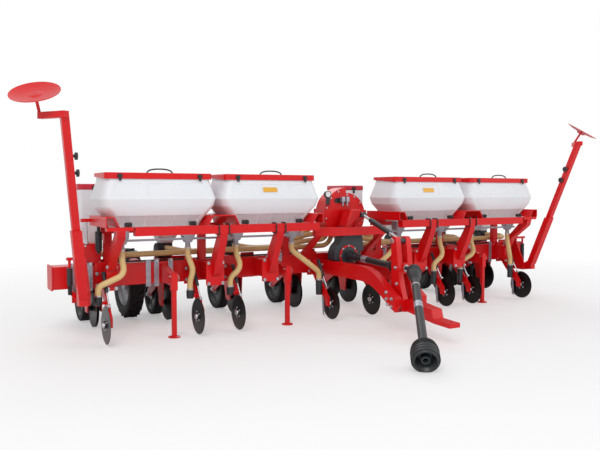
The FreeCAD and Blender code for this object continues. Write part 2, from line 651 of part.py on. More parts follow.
def row_units():
    pieces = [unit_head()] + parallel_links() + [unit_frame()]
    node("unit_linkages", *[placed(piece, place) for place in unit_places for piece in pieces])
    wheel = new_body("unit_wheel")
    half = "(unit_wheel_width/2)"
    shoulder = "unit_wheel_radius-30"
    turned(wheel, "x", [("-" + half + "+4", "12.3"), (half + "-4", "12.3"), (half + "-4", "40"), ("14", "60"),
                        ("14", "unit_wheel_radius-80"), (half + "-6", "unit_wheel_radius-66"), (half, shoulder),
                        (half + "-22", "unit_wheel_radius"), ("-%s+22" % half, "unit_wheel_radius"),
                        ("-" + half, shoulder), ("-%s+6" % half, "unit_wheel_radius-66"),
                        ("-14", "unit_wheel_radius-80"), ("-14", "60"), ("-%s+4" % half, "40")])
    for number, place in enumerate(unit_places, 1):
        node("unit_wheel_%d" % number, placed(wheel, place, "unit_wheel_back", "unit_wheel_radius"))
    discs = new_body("opener_discs")
    turned(discs, "x", [("-59.7", "0"), ("59.7", "0"), ("59.7", "24"), ("30", "24"), ("22", "60"), ("12", "seed_disc_radius"),
                        ("8", "seed_disc_radius"), ("16", "60"), ("16", "30"), ("-16", "30"), ("-16", "60"),
                        ("-8", "seed_disc_radius"), ("-12", "seed_disc_radius"), ("-22", "60"), ("-30", "24"), ("-59.7", "24")])
    node("seed_discs", *[placed(discs, place, "seed_disc_back", "seed_disc_radius+5") for place in unit_places])


def seed_meters():
    """Vacuum meter: a housing block under the hopper with a round disc cover on its side."""
    meter = new_body("seed_meter")
    pad(meter, "z", [box("-58", "seed_back-70", "58", "seed_back+70")], frame_top, "seed_hopper_foot")
    cover = "(seed_hopper_foot-%s)/2" % frame_top
    pad(meter, "x", [circle("seed_back", "%s+%s" % (frame_top, cover), cover + "-seat_gap")], "-92", "-58")
    pad(meter, "y", [circle("-" + port_side, port_height, "air_hose_radius+4")], "seed_back-" + port_reach, "seed_back-70")
    node("seed_meters", *[placed(meter, place) for place in unit_places])


def seed_hopper_levels(inset, floor):
    levels = [(floor, "65", "65", "20"), ("seed_hopper_foot+180", "seed_hopper_width/2", "seed_hopper_depth/2", "40"),
              ("seed_hopper_top", "seed_hopper_width/2", "seed_hopper_depth/2", "40")]
    return [(height, rounded("-(%s-%s)" % (half, inset), "seed_back-(%s-%s)" % (deep, inset),
                             "%s-%s" % (half, inset), "seed_back+(%s-%s)" % (deep, inset), bend))
            for height, half, deep, bend in levels]


def seed_hoppers():
    shell = new_body("seed_hopper_shell")
    loft("PartDesign::AdditiveLoft", shell, seed_hopper_levels("0", "seed_hopper_foot"))
    loft("PartDesign::SubtractiveLoft", shell, seed_hopper_levels("hopper_wall", "seed_hopper_foot+hopper_wall"))
    node("seed_hoppers", *[placed(shell, place) for place in unit_places])
    lid = new_body("seed_lid")
    half, deep = "seed_hopper_width/2", "seed_hopper_depth/2"
    outline = rounded("-%s-6" % half, "seed_back-%s-6" % deep, half + "+6", "seed_back+%s+6" % deep, "44")
    pad(lid, "z", [outline], "seed_hopper_top+seat_gap", "seed_hopper_top+56")
    node("seed_lids", *[placed(lid, place) for place in unit_places])


# ---- drive wheels -----------------------------------------------------------------------------


def drive_wheels():
    wheel = new_body("drive_wheel")
    half = "(drive_wheel_width/2)"
    tread, rim = "drive_wheel_radius", "(drive_wheel_radius-125)"
    turned(wheel, "x", [("-50", "22.3"), ("50", "22.3"), ("50", "48"), ("12", "60"), ("12", rim + "-20"), (half + "-20", rim),
                        (half, rim + "+60"), (half + "-8", tread + "-24"), (half + "-34", tread), ("-%s+34" % half, tread),
                        ("-%s+8" % half, tread + "-24"), ("-" + half, rim + "+60"), ("-%s+20" % half, rim),
                        ("-12", rim + "-20"), ("-12", "60"), ("-50", "48")])
    for side, place in zip(("left", "right"), wheel_places):
        node("drive_wheel_" + side, placed(wheel, place, "drive_wheel_back", "drive_wheel_radius"))
    leg = new_body("wheel_leg")
    inner = "(%s+20)" % half
    outline = [("beam_size", "beam_under-10"), ("beam_size", beam_top + "+10"), (back_face + "+120", beam_top + "+10"),
               ("drive_wheel_back+40", "drive_wheel_radius+44"), ("drive_wheel_back+40", "drive_wheel_radius-36"),
               (back_face + "+60", "beam_under-10")]
    pad(leg, "x", [outline], inner, inner + "+50")
    pad(leg, "x", [circle("drive_wheel_back", "drive_wheel_radius", "22")], "-56", inner)
    node("wheel_legs", placed(mirrored(leg), wheel_places[0]), placed(leg, wheel_places[1]))


# ---- markers ------------------------------------------------------------------------------------

cylinder_side = "(marker_lever*0.85)"
cylinder_front = "-116"
marker_top = ("marker_out", "-marker_front-marker_ahead", "marker_pivot+marker_rise")
marker_elbow = ("marker_out+143", "-marker_front-marker_ahead+185", "marker_pivot+marker_rise-10")
marker_hub = ("marker_out+143+39", "-marker_front-marker_ahead+185-69", "marker_pivot+marker_rise-10+128")
disc_axis = (0.26, -0.46, 0.85)


def marker_bases():
    """Bracket on the beam with two bearing plates, and the cylinder's rod hung from its top."""
    base = new_body("marker_base")
    pivot = "marker_pivot"
    ahead = "-marker_front"
    side = [("0", pivot + "-45"), ("0", beam_top + "+90"), ("-140", beam_top + "+90"), ("-140", beam_top + "+30"),
            (ahead + "+46", pivot + "+60"), (ahead + "+46", pivot + "-45")]
    pad(base, "x", [side], "-74", "-58")
    bearing = [box("-58", pivot + "-45", "40", pivot + "+45"), circle("0", pivot, "22.1")]
    for low, high in ((ahead + "+46", ahead + "+62"), ("-60", "-44")):
        pad(base, "y", bearing, low, high)
    pad(base, "z", [box("-58", "-140", cylinder_side + "+24", "-92")], beam_top + "+66", beam_top + "+90")
    pad(base, "z", [circle(cylinder_side, cylinder_front, "12")], pivot + "+140", beam_top + "+66")
    node("marker_bases", placed(base, "marker_side"), placed(mirrored(base), "-marker_side"))


def marker_arm():
    """Pivot shaft, slanted box arm in two sizes of tube, cylinder lever and disc bracket."""
    arm = new_body("marker_arm")
    pivot, ahead = "marker_pivot", "-marker_front"
    pad(arm, "y", [circle("0", pivot, "22")], ahead + "-40", "-40")
    thick, thin = "marker_tube/2", "(marker_tube/2-10)"
    stages = [("30", thick), ("marker_rise*0.4", thick), ("marker_rise*0.4", thin), ("marker_rise", thin)]
    pad(arm, "x", [box(ahead + "-40", pivot + "-34", ahead + "+40", pivot + "+60")], "-34", "40")
    for (low, half), (high, same) in (stages[:2], stages[2:]):
        ends = [(pivot + "+" + level,
                 box(*["%s*marker_out/marker_rise-%s" % (level, half), "%s-%s*marker_ahead/marker_rise-%s" % (ahead, level, half),
                       "%s*marker_out/marker_rise+%s" % (level, half), "%s-%s*marker_ahead/marker_rise+%s" % (ahead, level, half)]))
                for level in (low, high)]
        loft("PartDesign::AdditiveLoft", arm, ends)
    lever = [("-20", pivot + "-24"), ("24", pivot + "-20"), ("marker_lever*0.707+16", pivot + "+marker_lever*0.707-6"),
             ("marker_lever*0.707+10", pivot + "+marker_lever*0.707+12"), ("marker_lever*0.707-8", pivot + "+marker_lever*0.707+14"),
             ("-24", pivot + "+20")]
    pad(arm, "y", [lever], cylinder_front + "-6", cylinder_front + "+6")
    top, elbow = marker_top, marker_elbow
    bar = [(top[0] + "-34", top[1] + "-15"), (top[0] + "+6", top[1] + "-46"), (elbow[0] + "+20", elbow[1] + "-15"),
           (elbow[0] + "-20", elbow[1] + "+15")]
    pad(arm, "z", [bar], top[2] + "-50", top[2])
    foot, tip = [[size + "%+f" % (reach * step) for size, step in zip(marker_hub, disc_axis)] for reach in (-150, 18)]
    spindle(arm, foot, tip, "12")
    return arm


def markers():
    marker_bases()
    arm = marker_arm()
    disc = new_body("marker_disc")
    rim = "marker_disc_radius"
    turned(disc, "z", [("-16", "12.3"), ("16", "12.3"), ("16", "36"), ("8", "60"), ("14", rim + "*0.7"), ("30", rim),
                       ("26", rim), ("9", rim + "*0.7"), ("3", "60"), ("-16", "36")])
    barrel = new_body("marker_cylinder")
    pivot = "marker_pivot"
    hole = circle(cylinder_side, cylinder_front, "12.3")
    pad(barrel, "z", [circle(cylinder_side, cylinder_front, "24"), hole], pivot + "+134", pivot + "+270")
    pad(barrel, "z", [circle(cylinder_side, cylinder_front, "24")], pivot + "+120", pivot + "+134")
    for low, high in (("-19", "-11"), ("+11", "+19")):
        fork = box(cylinder_side + "-14", pivot + "+38", cylinder_side + "+14", pivot + "+120")
        pad(barrel, "y", [fork], cylinder_front + low, cylinder_front + high)
    tip = [size + "%+f" % (100 * step) for size, step in zip(marker_hub, disc_axis)]
    right_disc = doc.addObject("Part::Compound", "right_marker_disc")
    right_disc.Links = [aimed(disc, marker_hub, tip)]
    for side, sign in (("right", ""), ("left", "-")):
        for label, piece in (("marker_arm_", arm), ("marker_disc_", right_disc), ("marker_cylinder_", barrel)):
            node(label + side, placed(mirrored(piece) if sign else piece, sign + "marker_side"))


# ---- drawbar -----------------------------------------------------------------------------------------


def drawbar():
    arm = new_body("drawbar_arm")
    low = "(beam_under-13)"
    high = low + "+arm_height"
    outline = [("0", low), ("0", high), ("-760", high), ("-850", high + "-10"), ("-940", high + "-38"),
               ("-1030", high + "-84"), ("-1120", high + "-140"), ("-1290", "352"), ("-1290", "225"),
               ("-1120", low + "-130"), ("-1030", low + "-76"), ("-940", low + "-33"), ("-850", low + "-8"), ("-770", low)]
    pad(arm, "x", [outline], "arm_spread-arm_width/2", "arm_spread+arm_width/2")
    head = new_body("drawbar_head")
    inner = "tongue_width/2"
    pad(head, "x", [box("-1290", "225", "-1130", "335")], inner, "arm_spread-arm_width/2")
    tongue = new_body("tongue")
    outline = [("-1130", "230"), ("-1130", "335"), ("-1300", "335"), ("-1640", "292"), ("-1664", "215"), ("-tongue_tip", "205"),
               ("-tongue_tip", "165"), ("-1664", "175"), ("-1290", "228")]
    pad(tongue, "x", [outline], "-" + inner, inner)
    pocket(tongue, "z", [circle("0", "-tongue_tip+50", "hitch_hole/2")], "160", "210")
    post = new_body("mast_post")
    outline = [("-1288", "335"), ("-1132", "335"), ("-1112", "430"), ("-1100", "mast_top-60"), ("-1098", "mast_top-28"),
               ("-1106", "mast_top-9"), ("-1124", "mast_top"), ("-1148", "mast_top"), ("-1166", "mast_top-9"),
               ("-1174", "mast_top-28"), ("-1186", "mast_top-110"), ("-1214", "560"), ("-1256", "420")]
    pad(post, "x", [outline], "mast_gap/2", "mast_gap/2+mast_plate")
    bearing = new_body("shaft_bearing")
    block = box("-mast_gap/2", "shaft_line-50", "mast_gap/2", "shaft_line+50")
    pad(bearing, "y", [block, circle("0", "shaft_line", "18.05")], "-1215", "-1155")
    pieces = [arm, head, post]
    node("drawbar", *([placed(piece) for piece in pieces + [tongue, bearing]] + [mirrored(piece) for piece in pieces]))
    link = new_body("threaded_link")
    turned(link, "z", [("0", "0"), ("0", "14"), ("150", "14"), ("150", "25"), ("500", "25"), ("500", "14"), ("620", "14"), ("620", "0")])
    eye = "mast_gap/2-seat_gap"
    for level in ("-20", "640"):
        pad(link, "x", [circle("0", level, "26")], "-(%s)" % eye, eye)
    node("top_link", aimed(link, ("0", "-1126", "mast_top-34"), ("0", "-478", "1108")))


# ---- fan, its drive and its tower ------------------------------------------------------------------------


def fan_tower():
    leg = new_body("tower_leg")
    outline = [("0", "beam_under+146"), ("0", beam_top + "+24"), ("-270", "870"), ("-330", "870")]
    pad(leg, "x", [outline], "370", "430")
    cross = new_body("tower_cross")
    pad(cross, "x", [box("-330", "870", "-270", "960")], "-445", "445")
    lug = new_body("tower_lug")
    outline = [("-330", "960"), ("-270", "960"), ("-440", "1140"), ("-520", "1140"), ("-520", "1080")]
    pad(lug, "x", [outline], "mast_gap/2", "mast_gap/2+14")
    stays = new_body("fan_stay")
    pad(stays, "y", [box("-46", "880", "0", "950")], "-270", "-70")
    node("fan_tower", placed(leg), mirrored(leg), placed(cross), placed(lug), mirrored(lug), placed(stays, "-66"),
         placed(stays, "286"))


def fan_housing():
    """Spiral casing that widens by a tenth each quarter turn, with a mouth on its upper left."""
    centre = FreeCAD.Vector(value("fan_side"), 0, value("fan_height"))
    radius = value("fan_radius")

    def rim(degrees, size):
        turn = math.radians(degrees)
        return centre + FreeCAD.Vector(math.cos(turn), 0, math.sin(turn)) * size
    sizes = [radius * (1 + 0.06 * quarter) for quarter in range(5)]
    edges = []
    for quarter in range(4):
        start = 90 - 90 * quarter
        middle = (sizes[quarter] + sizes[quarter + 1]) / 2
        ends = rim(start, sizes[quarter]), rim(start - 45, middle), rim(start - 90, sizes[quarter + 1])
        edges.append(Part.Arc(*ends).toShape())
    last, first = rim(90, sizes[4]), rim(90, sizes[0])
    edges.append(Part.makeLine(last, first))
    casing = Part.Face(Part.Wire(edges))
    width = value("fan_width")
    solid = casing.extrude(FreeCAD.Vector(0, width, 0))
    eye = Part.makeCylinder(70, 24, centre + FreeCAD.Vector(0, width, 0), FreeCAD.Vector(0, 1, 0))
    manifold = Part.makeBox(460, 90, 120, FreeCAD.Vector(value("fan_side") - 230, width + 24, value("fan_height") - 60))
    shape = solid.fuse([eye, manifold]).removeSplitter()
    shape.translate(FreeCAD.Vector(0, -70, 0))
    housing = doc.addObject("Part::Feature", "spiral_casing")
    housing.Shape = shape.Solids[0]
    node("fan_housing", housing)


def belt_guard():
    guard = new_body("belt_guard")
    pad(guard, "y", [circle("0", "input_line", "168")], "-262", "-120")
    arm_clear, arm_top = "arm_spread-arm_width/2-6", "beam_under-13+arm_height+6"
    for low, high in (("-200", "-(%s)" % arm_clear), (arm_clear, "200")):
        pocket(guard, "y", [box(low, "beam_under-40", high, arm_top)], "-262", "-120")
    pad(guard, "y", [circle("0", "input_line", "92")], "-276", "-262")
    cover = [("-130", "input_line+40"), ("fan_side+100", "input_line+40"), ("fan_side+62", "fan_height+60"),
             ("fan_side-62", "fan_height+60")]
    pad(guard, "y", [cover], "-262", "-120")
    pad(guard, "y", [box("-60", "beam_under+60", "60", beam_top + "-20")], "-120", "0")
    pad(guard, "y", [circle("fan_side", "fan_height", "40")], "-120", "-70")
    node("belt_guard", guard)


def drive_shafts():
    """Guarded shafts: the fan drive back from the hitch mast, and the one for the tractor."""
    ends = ("0", "-278.5", "input_line"), ("0", "-1090", "shaft_line")
    length = "%.3f" % distance(*ends)
    rear = new_body("rear_shaft")
    turned(rear, "z", [("0", "0"), ("0", "36"), ("12", "36"), ("40", "62"), ("130", "40"), ("140", "33"),
                       (length + "-130", "33"), (length + "-110", "42"), (length + "-10", "66"), (length, "60"), (length, "0")])
    stub = new_body("bearing_stub")
    turned(stub, "y", [("-1308", "0"), ("-1308", "18"), ("-1091", "18"), ("-1091", "0")])
    front_ends = ("0", "-1325", "shaft_line"), ("-770", "-2390", "87")
    reach = "%.3f" % distance(*front_ends)
    front = new_body("front_shaft")
    turned(front, "z", [("0", "0"), ("0", "56"), ("30", "66"), ("130", "60"), ("210", "40"), ("220", "36"), (reach + "-210", "36"),
                        (reach + "-190", "48"), (reach + "-160", "92"), (reach + "-100", "106"), (reach + "-30", "106"),
                        (reach, "92"), (reach, "0")])
    node("drive_shafts", aimed(rear, *ends), placed(stub, "0", "0", "shaft_line"), aimed(front, *front_ends))


# ---- hoses --------------------------------------------------------------------------------------------------


def fertiliser_hoses():
    routes = []
    spout = "meter_under-40"
    for sign in ("-", ""):
        for number, place in enumerate(arm_places):
            near = sign + ["(%s+meter_spread)" % hopper_second, "(%s-meter_spread)" % hopper_second,
                           "(%s+meter_spread)" % hopper_first, "(%s-meter_spread)" % hopper_first][number]
            beside = boot_side if number == 3 else ("+" + boot_beyond if sign else "-" + boot_side)
            far = "%s(%s+%s)" % (sign, place, beside)
            swing = "(%s%s)" % (near, ["+20", "+48", "+48", "*0.72"][number])
            routes.append([(near, "-meter_mid", spout), (near, "-meter_mid", spout + "-80"), (swing, "-meter_mid-16", "600"),
                           (far, boot_front, "500"), (far, boot_front, boot_top)])
    hoses("fertiliser_hoses", routes, "hose_radius")


def air_hoses():
    """One hose from each seed meter forward to its lane above the beam and on to the fan."""
    routes = []
    for sign, numbers in (("-", (0, 1, 2, 3)), ("", (7, 6, 5, 4))):
        inward = "-" if sign == "" else "+"
        for lane, number in enumerate(numbers):
            port = "(%s-%s)" % (unit_places[number], port_side)
            across = "(air_front+%d*air_lane)" % lane
            rise = "(air_level-10+%d*(air_lane+9))" % lane
            outlet = "(fan_side%s(%d+0.5)*air_lane)" % (sign or "+", lane)
            beside_fan = "(fan_side%s%%s)" % (sign or "+")
            start = [(port, "seed_back-" + port_reach, port_height)]
            along_beam = [(port, across + "+131", port_height), (port + inward + "48", across + "+48", "air_level+4"),
                          (port + inward + "131", across, "air_level"), (beside_fan % "700", across, "air_level"),
                          (beside_fan % "525", across + "+5-%d*7" % lane, "(air_level-7+%d*42)" % lane),
                          (beside_fan % "350", "165", rise), (outlet, "179", rise + "+6")]
            over_lanes = [(port, "seed_back-225", port_height), (port, "290", rise + "-60"),
                          ("(%s+%s)/2" % (port, outlet), "215", rise + "+8"), (outlet, "179", rise + "+20")]
            routes.append(start + (over_lanes if lane == 3 else along_beam) + [(outlet, "179", "fan_height-60")])
    hoses("air_hoses", routes, "air_hose_radius")


for build in (tool_beam, beam_plates, beam_straps, fertiliser_hoppers, hopper_lids, hopper_stand, fertiliser_meters, jacks,
              fertiliser_openers, row_units, seed_meters, seed_hoppers, drive_wheels, markers, drawbar, fan_tower,
              fan_housing, belt_guard, drive_shafts, fertiliser_hoses, air_hoses):
    build()
doc.recompute()

faults = [piece.Label for piece in doc.Objects if {"Invalid", "Error"} & set(piece.State)]
faults += [piece.Label for piece in nodes if piece.Shape.isNull() or not piece.Shape.isValid()]
if faults:
    raise ValueError("not built: " + ", ".join(faults))
os.makedirs("parts", exist_ok=True)
for piece in nodes:
    piece.Shape.exportStep("parts/%s.step" % piece.Label)
print(len(nodes), "nodes,", sum(len(piece.Shape.Solids) for piece in nodes), "solids")
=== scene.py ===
import json
import math
import bmesh
import bpy
from mathutils import Matrix, Vector


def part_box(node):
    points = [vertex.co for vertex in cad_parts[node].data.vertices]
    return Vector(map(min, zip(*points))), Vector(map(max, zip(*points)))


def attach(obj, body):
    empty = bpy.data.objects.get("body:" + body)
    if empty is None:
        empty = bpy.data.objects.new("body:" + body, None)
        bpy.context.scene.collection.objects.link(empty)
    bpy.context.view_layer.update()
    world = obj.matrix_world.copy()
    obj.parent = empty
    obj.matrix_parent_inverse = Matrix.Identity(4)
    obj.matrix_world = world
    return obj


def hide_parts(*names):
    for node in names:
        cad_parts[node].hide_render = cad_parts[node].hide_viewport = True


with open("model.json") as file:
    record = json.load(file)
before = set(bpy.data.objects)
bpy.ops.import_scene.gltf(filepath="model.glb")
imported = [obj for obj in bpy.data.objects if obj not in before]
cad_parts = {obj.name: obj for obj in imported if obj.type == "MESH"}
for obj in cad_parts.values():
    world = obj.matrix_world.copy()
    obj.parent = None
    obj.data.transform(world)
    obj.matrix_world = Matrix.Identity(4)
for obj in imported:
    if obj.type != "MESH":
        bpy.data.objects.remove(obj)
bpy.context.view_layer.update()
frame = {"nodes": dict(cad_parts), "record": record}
nodes = frame["nodes"]
print("frame loaded,", len(nodes), "nodes")

# camera and light
stage = {
    "eye": (-3.969, -5.479, 1.316), "turn": 30.23, "dip": 2.77, "lens": 40.0, "skyLight": 0.55,
    "floorSize": 60, "floorColour": "F7F7F8", "floorRoughness": 0.9, "fadeFrom": 2.5, "fadeTo": 8,
    "fadeLeast": 0.35, "lampAim": (0, 0, 0.6),
    "lamps": (("keyLamp", (-6, -7, 7), 460, 5), ("fillLamp", (7, -6, 5), 160, 6),
              ("rimLamp", (2, 8, 7), 200, 6)),
}


# sRGB hex text to the linear colour that a shader takes
def linearColour(hexText):
    parts = [int(hexText[i:i + 2], 16) / 255 for i in (0, 2, 4)]
    return [c / 12.92 if c <= 0.04045 else ((c + 0.055) / 1.055) ** 2.4 for c in parts] + [1]


# adds a shader node: settings go to its sockets or its own properties, links join sockets
def addNode(owner, kind, settings={}, links={}):
    node = owner.node_tree.nodes.new("ShaderNode" + kind)
    for name, value in settings.items():
        if isinstance(name, int) or name in node.inputs:
            node.inputs[name].default_value = value
        else:
            setattr(node, name, value)
    for name, source in links.items():
        owner.node_tree.links.new(source, node.inputs[name])
    return node


def newMaterial(name, colour, roughness):
    material = bpy.data.materials.new(name)
    material.use_nodes = True
    shader = material.node_tree.nodes["Principled BSDF"]
    shader.inputs["Base Color"].default_value = linearColour(colour)
    shader.inputs["Roughness"].default_value = roughness
    return material, shader


def setCamera():
    camera = bpy.data.cameras.new("camera")
    camera.lens = stage["lens"]
    cameraObject = bpy.data.objects.new("camera", camera)
    bpy.context.scene.collection.objects.link(cameraObject)
    cameraObject.location = stage["eye"]
    cameraObject.rotation_euler = [math.radians(a) for a in (90 - stage["dip"], 0, -stage["turn"])]
    bpy.context.scene.camera = cameraObject
    bpy.context.scene.view_settings.view_transform = "Standard"


# a white sky, at full strength only where the camera or a reflection sees it, and three soft lamps
def setLight():
    world = bpy.data.worlds.new("studio")
    world.use_nodes = True
    bpy.context.scene.world = world
    rays = addNode(world, "LightPath")
    seen = addNode(world, "Math", {"operation": "MAXIMUM"},
                   {0: rays.outputs["Is Camera Ray"], 1: rays.outputs["Is Glossy Ray"]})
    strength = addNode(world, "MapRange", {"To Min": stage["skyLight"], "To Max": 1},
                       {"Value": seen.outputs[0]})
    sky = world.node_tree.nodes["Background"]
    world.node_tree.links.new(strength.outputs["Result"], sky.inputs["Strength"])
    sky.inputs["Color"].default_value = (1, 1, 1, 1)
    for name, place, power, size in stage["lamps"]:
        lamp = bpy.data.lights.new(name, "AREA")
        lamp.energy = power
        lamp.size = size
        lampObject = bpy.data.objects.new(name, lamp)
        bpy.context.scene.collection.objects.link(lampObject)
        lampObject.location = place
        aim = Vector(stage["lampAim"]) - Vector(place)
        lampObject.rotation_euler = aim.to_track_quat("-Z", "Y").to_euler()


# the camera sees the floor run into the white of the background, and its shadows stay near the planter
def setFloor():
    bpy.ops.mesh.primitive_plane_add(size=stage["floorSize"])
    floor = bpy.context.object
    floor.name = "floor"
    material, shader = newMaterial("paleFloor", stage["floorColour"], stage["floorRoughness"])
    place = addNode(material, "TexCoord")
    reach = addNode(material, "VectorMath", {"operation": "LENGTH"}, {0: place.outputs["Object"]})
    fade = {"From Min": stage["fadeFrom"], "From Max": stage["fadeTo"], "To Min": stage["fadeLeast"],
            "To Max": 1}
    share = addNode(material, "MapRange", fade, {"Value": reach.outputs["Value"]})
    seen = addNode(material, "LightPath")
    factor = addNode(material, "Math", {"operation": "MULTIPLY"},
                     {0: share.outputs["Result"], 1: seen.outputs["Is Camera Ray"]})
    glow = addNode(material, "Emission", {"Color": (1, 1, 1, 1), "Strength": 1})
    mix = addNode(material, "MixShader", {}, {0: factor.outputs[0], 1: shader.outputs[0], 2: glow.outputs[0]})
    output = material.node_tree.nodes["Material Output"]
    material.node_tree.links.new(mix.outputs[0], output.inputs["Surface"])
    floor.data.materials.append(material)


setCamera()
setLight()
setFloor()
print("stage set")

# finishes: colour, roughness, metallic, more sockets, then two mottle colours with the size of their patches,
# and the size and depth of the surface grain, in metres
finishTable = {
    # gloss alkyd enamel sprayed on steel: a slight orange peel of about 4 mm, drawn at 6 mm to show
    "redEnamel": ("D20309", 0.36, 0,
                  {"Coat Weight": 0.15, "Coat Roughness": 0.12, "Specular IOR Level": 0.35},
                  ("CB0208", "D9040B", 0.5), (0.006, 0.00012)),
    # rotationally moulded polyethylene: milky white, waxy, a fine mould texture
    "whitePolyethylene": ("E2E4E8", 0.48, 0, {"Subsurface Weight": 0.04},
                          ("DEE0E5", "E8E9EC", 0.4), (0.004, 0.00015)),
    # injection moulded grey polypropylene, satin
    "greyPolypropylene": ("9C9DA6", 0.5, 0, {}, ("94959F", "A5A6AE", 0.15), (0.003, 0.0001)),
    # dark moulded plastic of the seed meters
    "darkPolypropylene": ("26282B", 0.5, 0, {}, ("222427", "2C2E32", 0.15), (0.003, 0.0001)),
    # black stove enamel on disc blades: even gloss over a fine grain
    "blackBlade": ("08090A", 0.3, 0, {"Coat Weight": 0.1, "Coat Roughness": 0.15, "Specular IOR Level": 0.3},
                   ("070809", "0C0E0F", 0.08), (0.004, 0.0001)),
    # black enamel on small steel pieces
    "blackEnamel": ("16181A", 0.38, 0, {"Coat Weight": 0.2}, ("131517", "1C1E21", 0.1), (0.004, 0.0001)),
    # vulcanised rubber, matt with a dusty bloom
    "tyreRubber": ("101112", 0.7, 0, {"Specular IOR Level": 0.35},
                   ("0D0E0F", "151617", 0.09), (0.0025, 0.0002)),
    # flexible PVC suction hose, tan, semi gloss
    "tanHose": ("D6B67A", 0.42, 0, {}, ("CFAE70", "DDC088", 0.12), (0.008, 0.0003)),
    # blow moulded polyethylene shaft guard, black with a soft shine
    "blackGuard": ("1B1D20", 0.42, 0, {}, ("181A1D", "222528", 0.12), (0.005, 0.00015)),
    # injection moulded lid of the seed hopper, crimson
    "crimsonPlastic": ("C41C33", 0.35, 0, {"Coat Weight": 0.15}, ("BE1A31", "CB2038", 0.3), (0.005, 0.0001)),
    # powder coated dark grey sheet
    "greyPowderCoat": ("2B3236", 0.5, 0, {}, ("272E32", "31383D", 0.2), (0.003, 0.0001)),
    # painted wheel disc, silver lacquer
    "silverRim": ("9A9CA1", 0.4, 0.5, {}, ("8E9095", "A6A8AD", 0.05), (0.004, 0.0001)),
    # vinyl plate left blank, warm yellow
    "yellowVinyl": ("E3A62C", 0.35, 0, {}, ("DDA028", "E8AE36", 0.03), (0.002, 0.00004)),
    # zinc plated and passivated fasteners, bright
    "zincPlate": ("C4C5C9", 0.28, 0.9, {}, ("B9BABF", "CFD0D3", 0.02), (0.002, 0.00005)),
}
# hot dip galvanised strip: zinc spangle of about 12 mm, dull lilac grey
spangle = {
    "colour": "A9A9B3", "roughness": 0.42, "metallic": 0.75, "scale": 80,
    "mottle": ("9A9AA6", "B8B8C2"),
}
finishes = {}


def newFinish(name, colour, roughness, metallic, sockets):
    material, shader = newMaterial(name, colour, roughness)
    shader.inputs["Metallic"].default_value = metallic
    for socket, value in sockets.items():
        shader.inputs[socket].default_value = value
    finishes[name] = material
    return material, shader, addNode(material, "TexCoord").outputs["Object"]


# a patchy change of colour: two hex colours mixed by a texture
def mottled(material, shader, first, second, texture):
    mix = addNode(material, "Mix", {"data_type": "RGBA", 6: linearColour(first), 7: linearColour(second)},
                  {"Factor": texture})
    material.node_tree.links.new(mix.outputs[2], shader.inputs["Base Color"])


def makeFinishes():
    for name, (colour, roughness, metallic, sockets, mottle, (size, depth)) in finishTable.items():
        material, shader, place = newFinish(name, colour, roughness, metallic, sockets)
        first, second, patch = mottle
        noise = addNode(material, "TexNoise", {"Scale": 1 / patch, "Detail": 3}, {"Vector": place})
        mottled(material, shader, first, second, noise.outputs["Fac"])
        grain = addNode(material, "TexNoise", {"Scale": 1 / size, "Detail": 2}, {"Vector": place})
        bump = addNode(material, "Bump", {"Distance": depth, "Strength": 1}, {"Height": grain.outputs["Fac"]})
        material.node_tree.links.new(bump.outputs["Normal"], shader.inputs["Normal"])
    material, shader, place = newFinish("galvanisedSteel", spangle["colour"], spangle["roughness"],
                                        spangle["metallic"], {})
    crystals = addNode(material, "TexVoronoi", {"Scale": spangle["scale"]}, {"Vector": place})
    mottled(material, shader, *spangle["mottle"], crystals.outputs["Color"])


makeFinishes()
finishOfSlot = {
    "red_paint": "redEnamel", "galvanised": "galvanisedSteel", "dark_steel": "blackEnamel",
    "disc_steel": "blackBlade", "white_plastic": "whitePolyethylene", "grey_plastic": "greyPolypropylene",
    "dark_plastic": "darkPolypropylene", "black_plastic": "blackGuard", "red_plastic": "crimsonPlastic",
    "tan_hose": "tanHose", "black_rubber": "tanHose", "tyre_rubber": "tyreRubber", "zinc_steel": "zincPlate",
}
for part in frame["record"]["subparts"]:
    piece = nodes[part["node"]]
    piece.data.materials.clear()
    piece.data.materials.append(finishes[finishOfSlot[part["material_slot"]]])
nodes["belt_guard"].data.materials[0] = finishes["greyPowderCoat"]
for number in range(1, 5):
    nodes["hopper_lid_%d" % number].data.materials[0] = finishes["redEnamel"]
    nodes["jack_leg_%d" % number].data.materials[0] = finishes["redEnamel"]
nodes["seed_hoppers"].data.materials[0] = finishes["whitePolyethylene"]
print("finishes made")

# shaping
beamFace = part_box("main_beam")[0][1]  # front face of the tool beam; pieces are set out from it
alongX, alongY = (0, 90, 0), (90, 0, 0)  # turns that lay a cylinder down
origin = (0, 0, 0)


def clearSelection():
    if bpy.context.object and bpy.context.object.mode != "OBJECT":
        bpy.ops.object.mode_set(mode="OBJECT")
    bpy.ops.object.select_all(action="DESELECT")


def activate(piece):
    clearSelection()
    bpy.context.view_layer.objects.active = piece
    piece.select_set(True)


# moves the piece's place, turn and size into its mesh
def placeInMesh(piece):
    bpy.ops.object.transform_apply(location=True, rotation=True, scale=True)
    return piece


def settled(piece, matrix):
    piece.matrix_world = matrix
    activate(piece)
    return placeInMesh(piece)


def twinOf(shape):
    twin = shape.copy()
    twin.data = shape.data.copy()
    bpy.context.scene.collection.objects.link(twin)
    return twin


# adds a primitive at its place and size, turned in degrees about X, Y and Z
def startPiece(name, kind, place=origin, size=(1, 1, 1), turn=origin, **settings):
    clearSelection()
    if kind == "cube":
        settings["size"] = 1
    getattr(bpy.ops.mesh, "primitive_%s_add" % kind)(**settings)
    piece = bpy.context.object
    piece.name = name
    piece.scale = size
    piece.rotation_euler = [math.radians(a) for a in turn]
    piece.location = place
    return placeInMesh(piece)


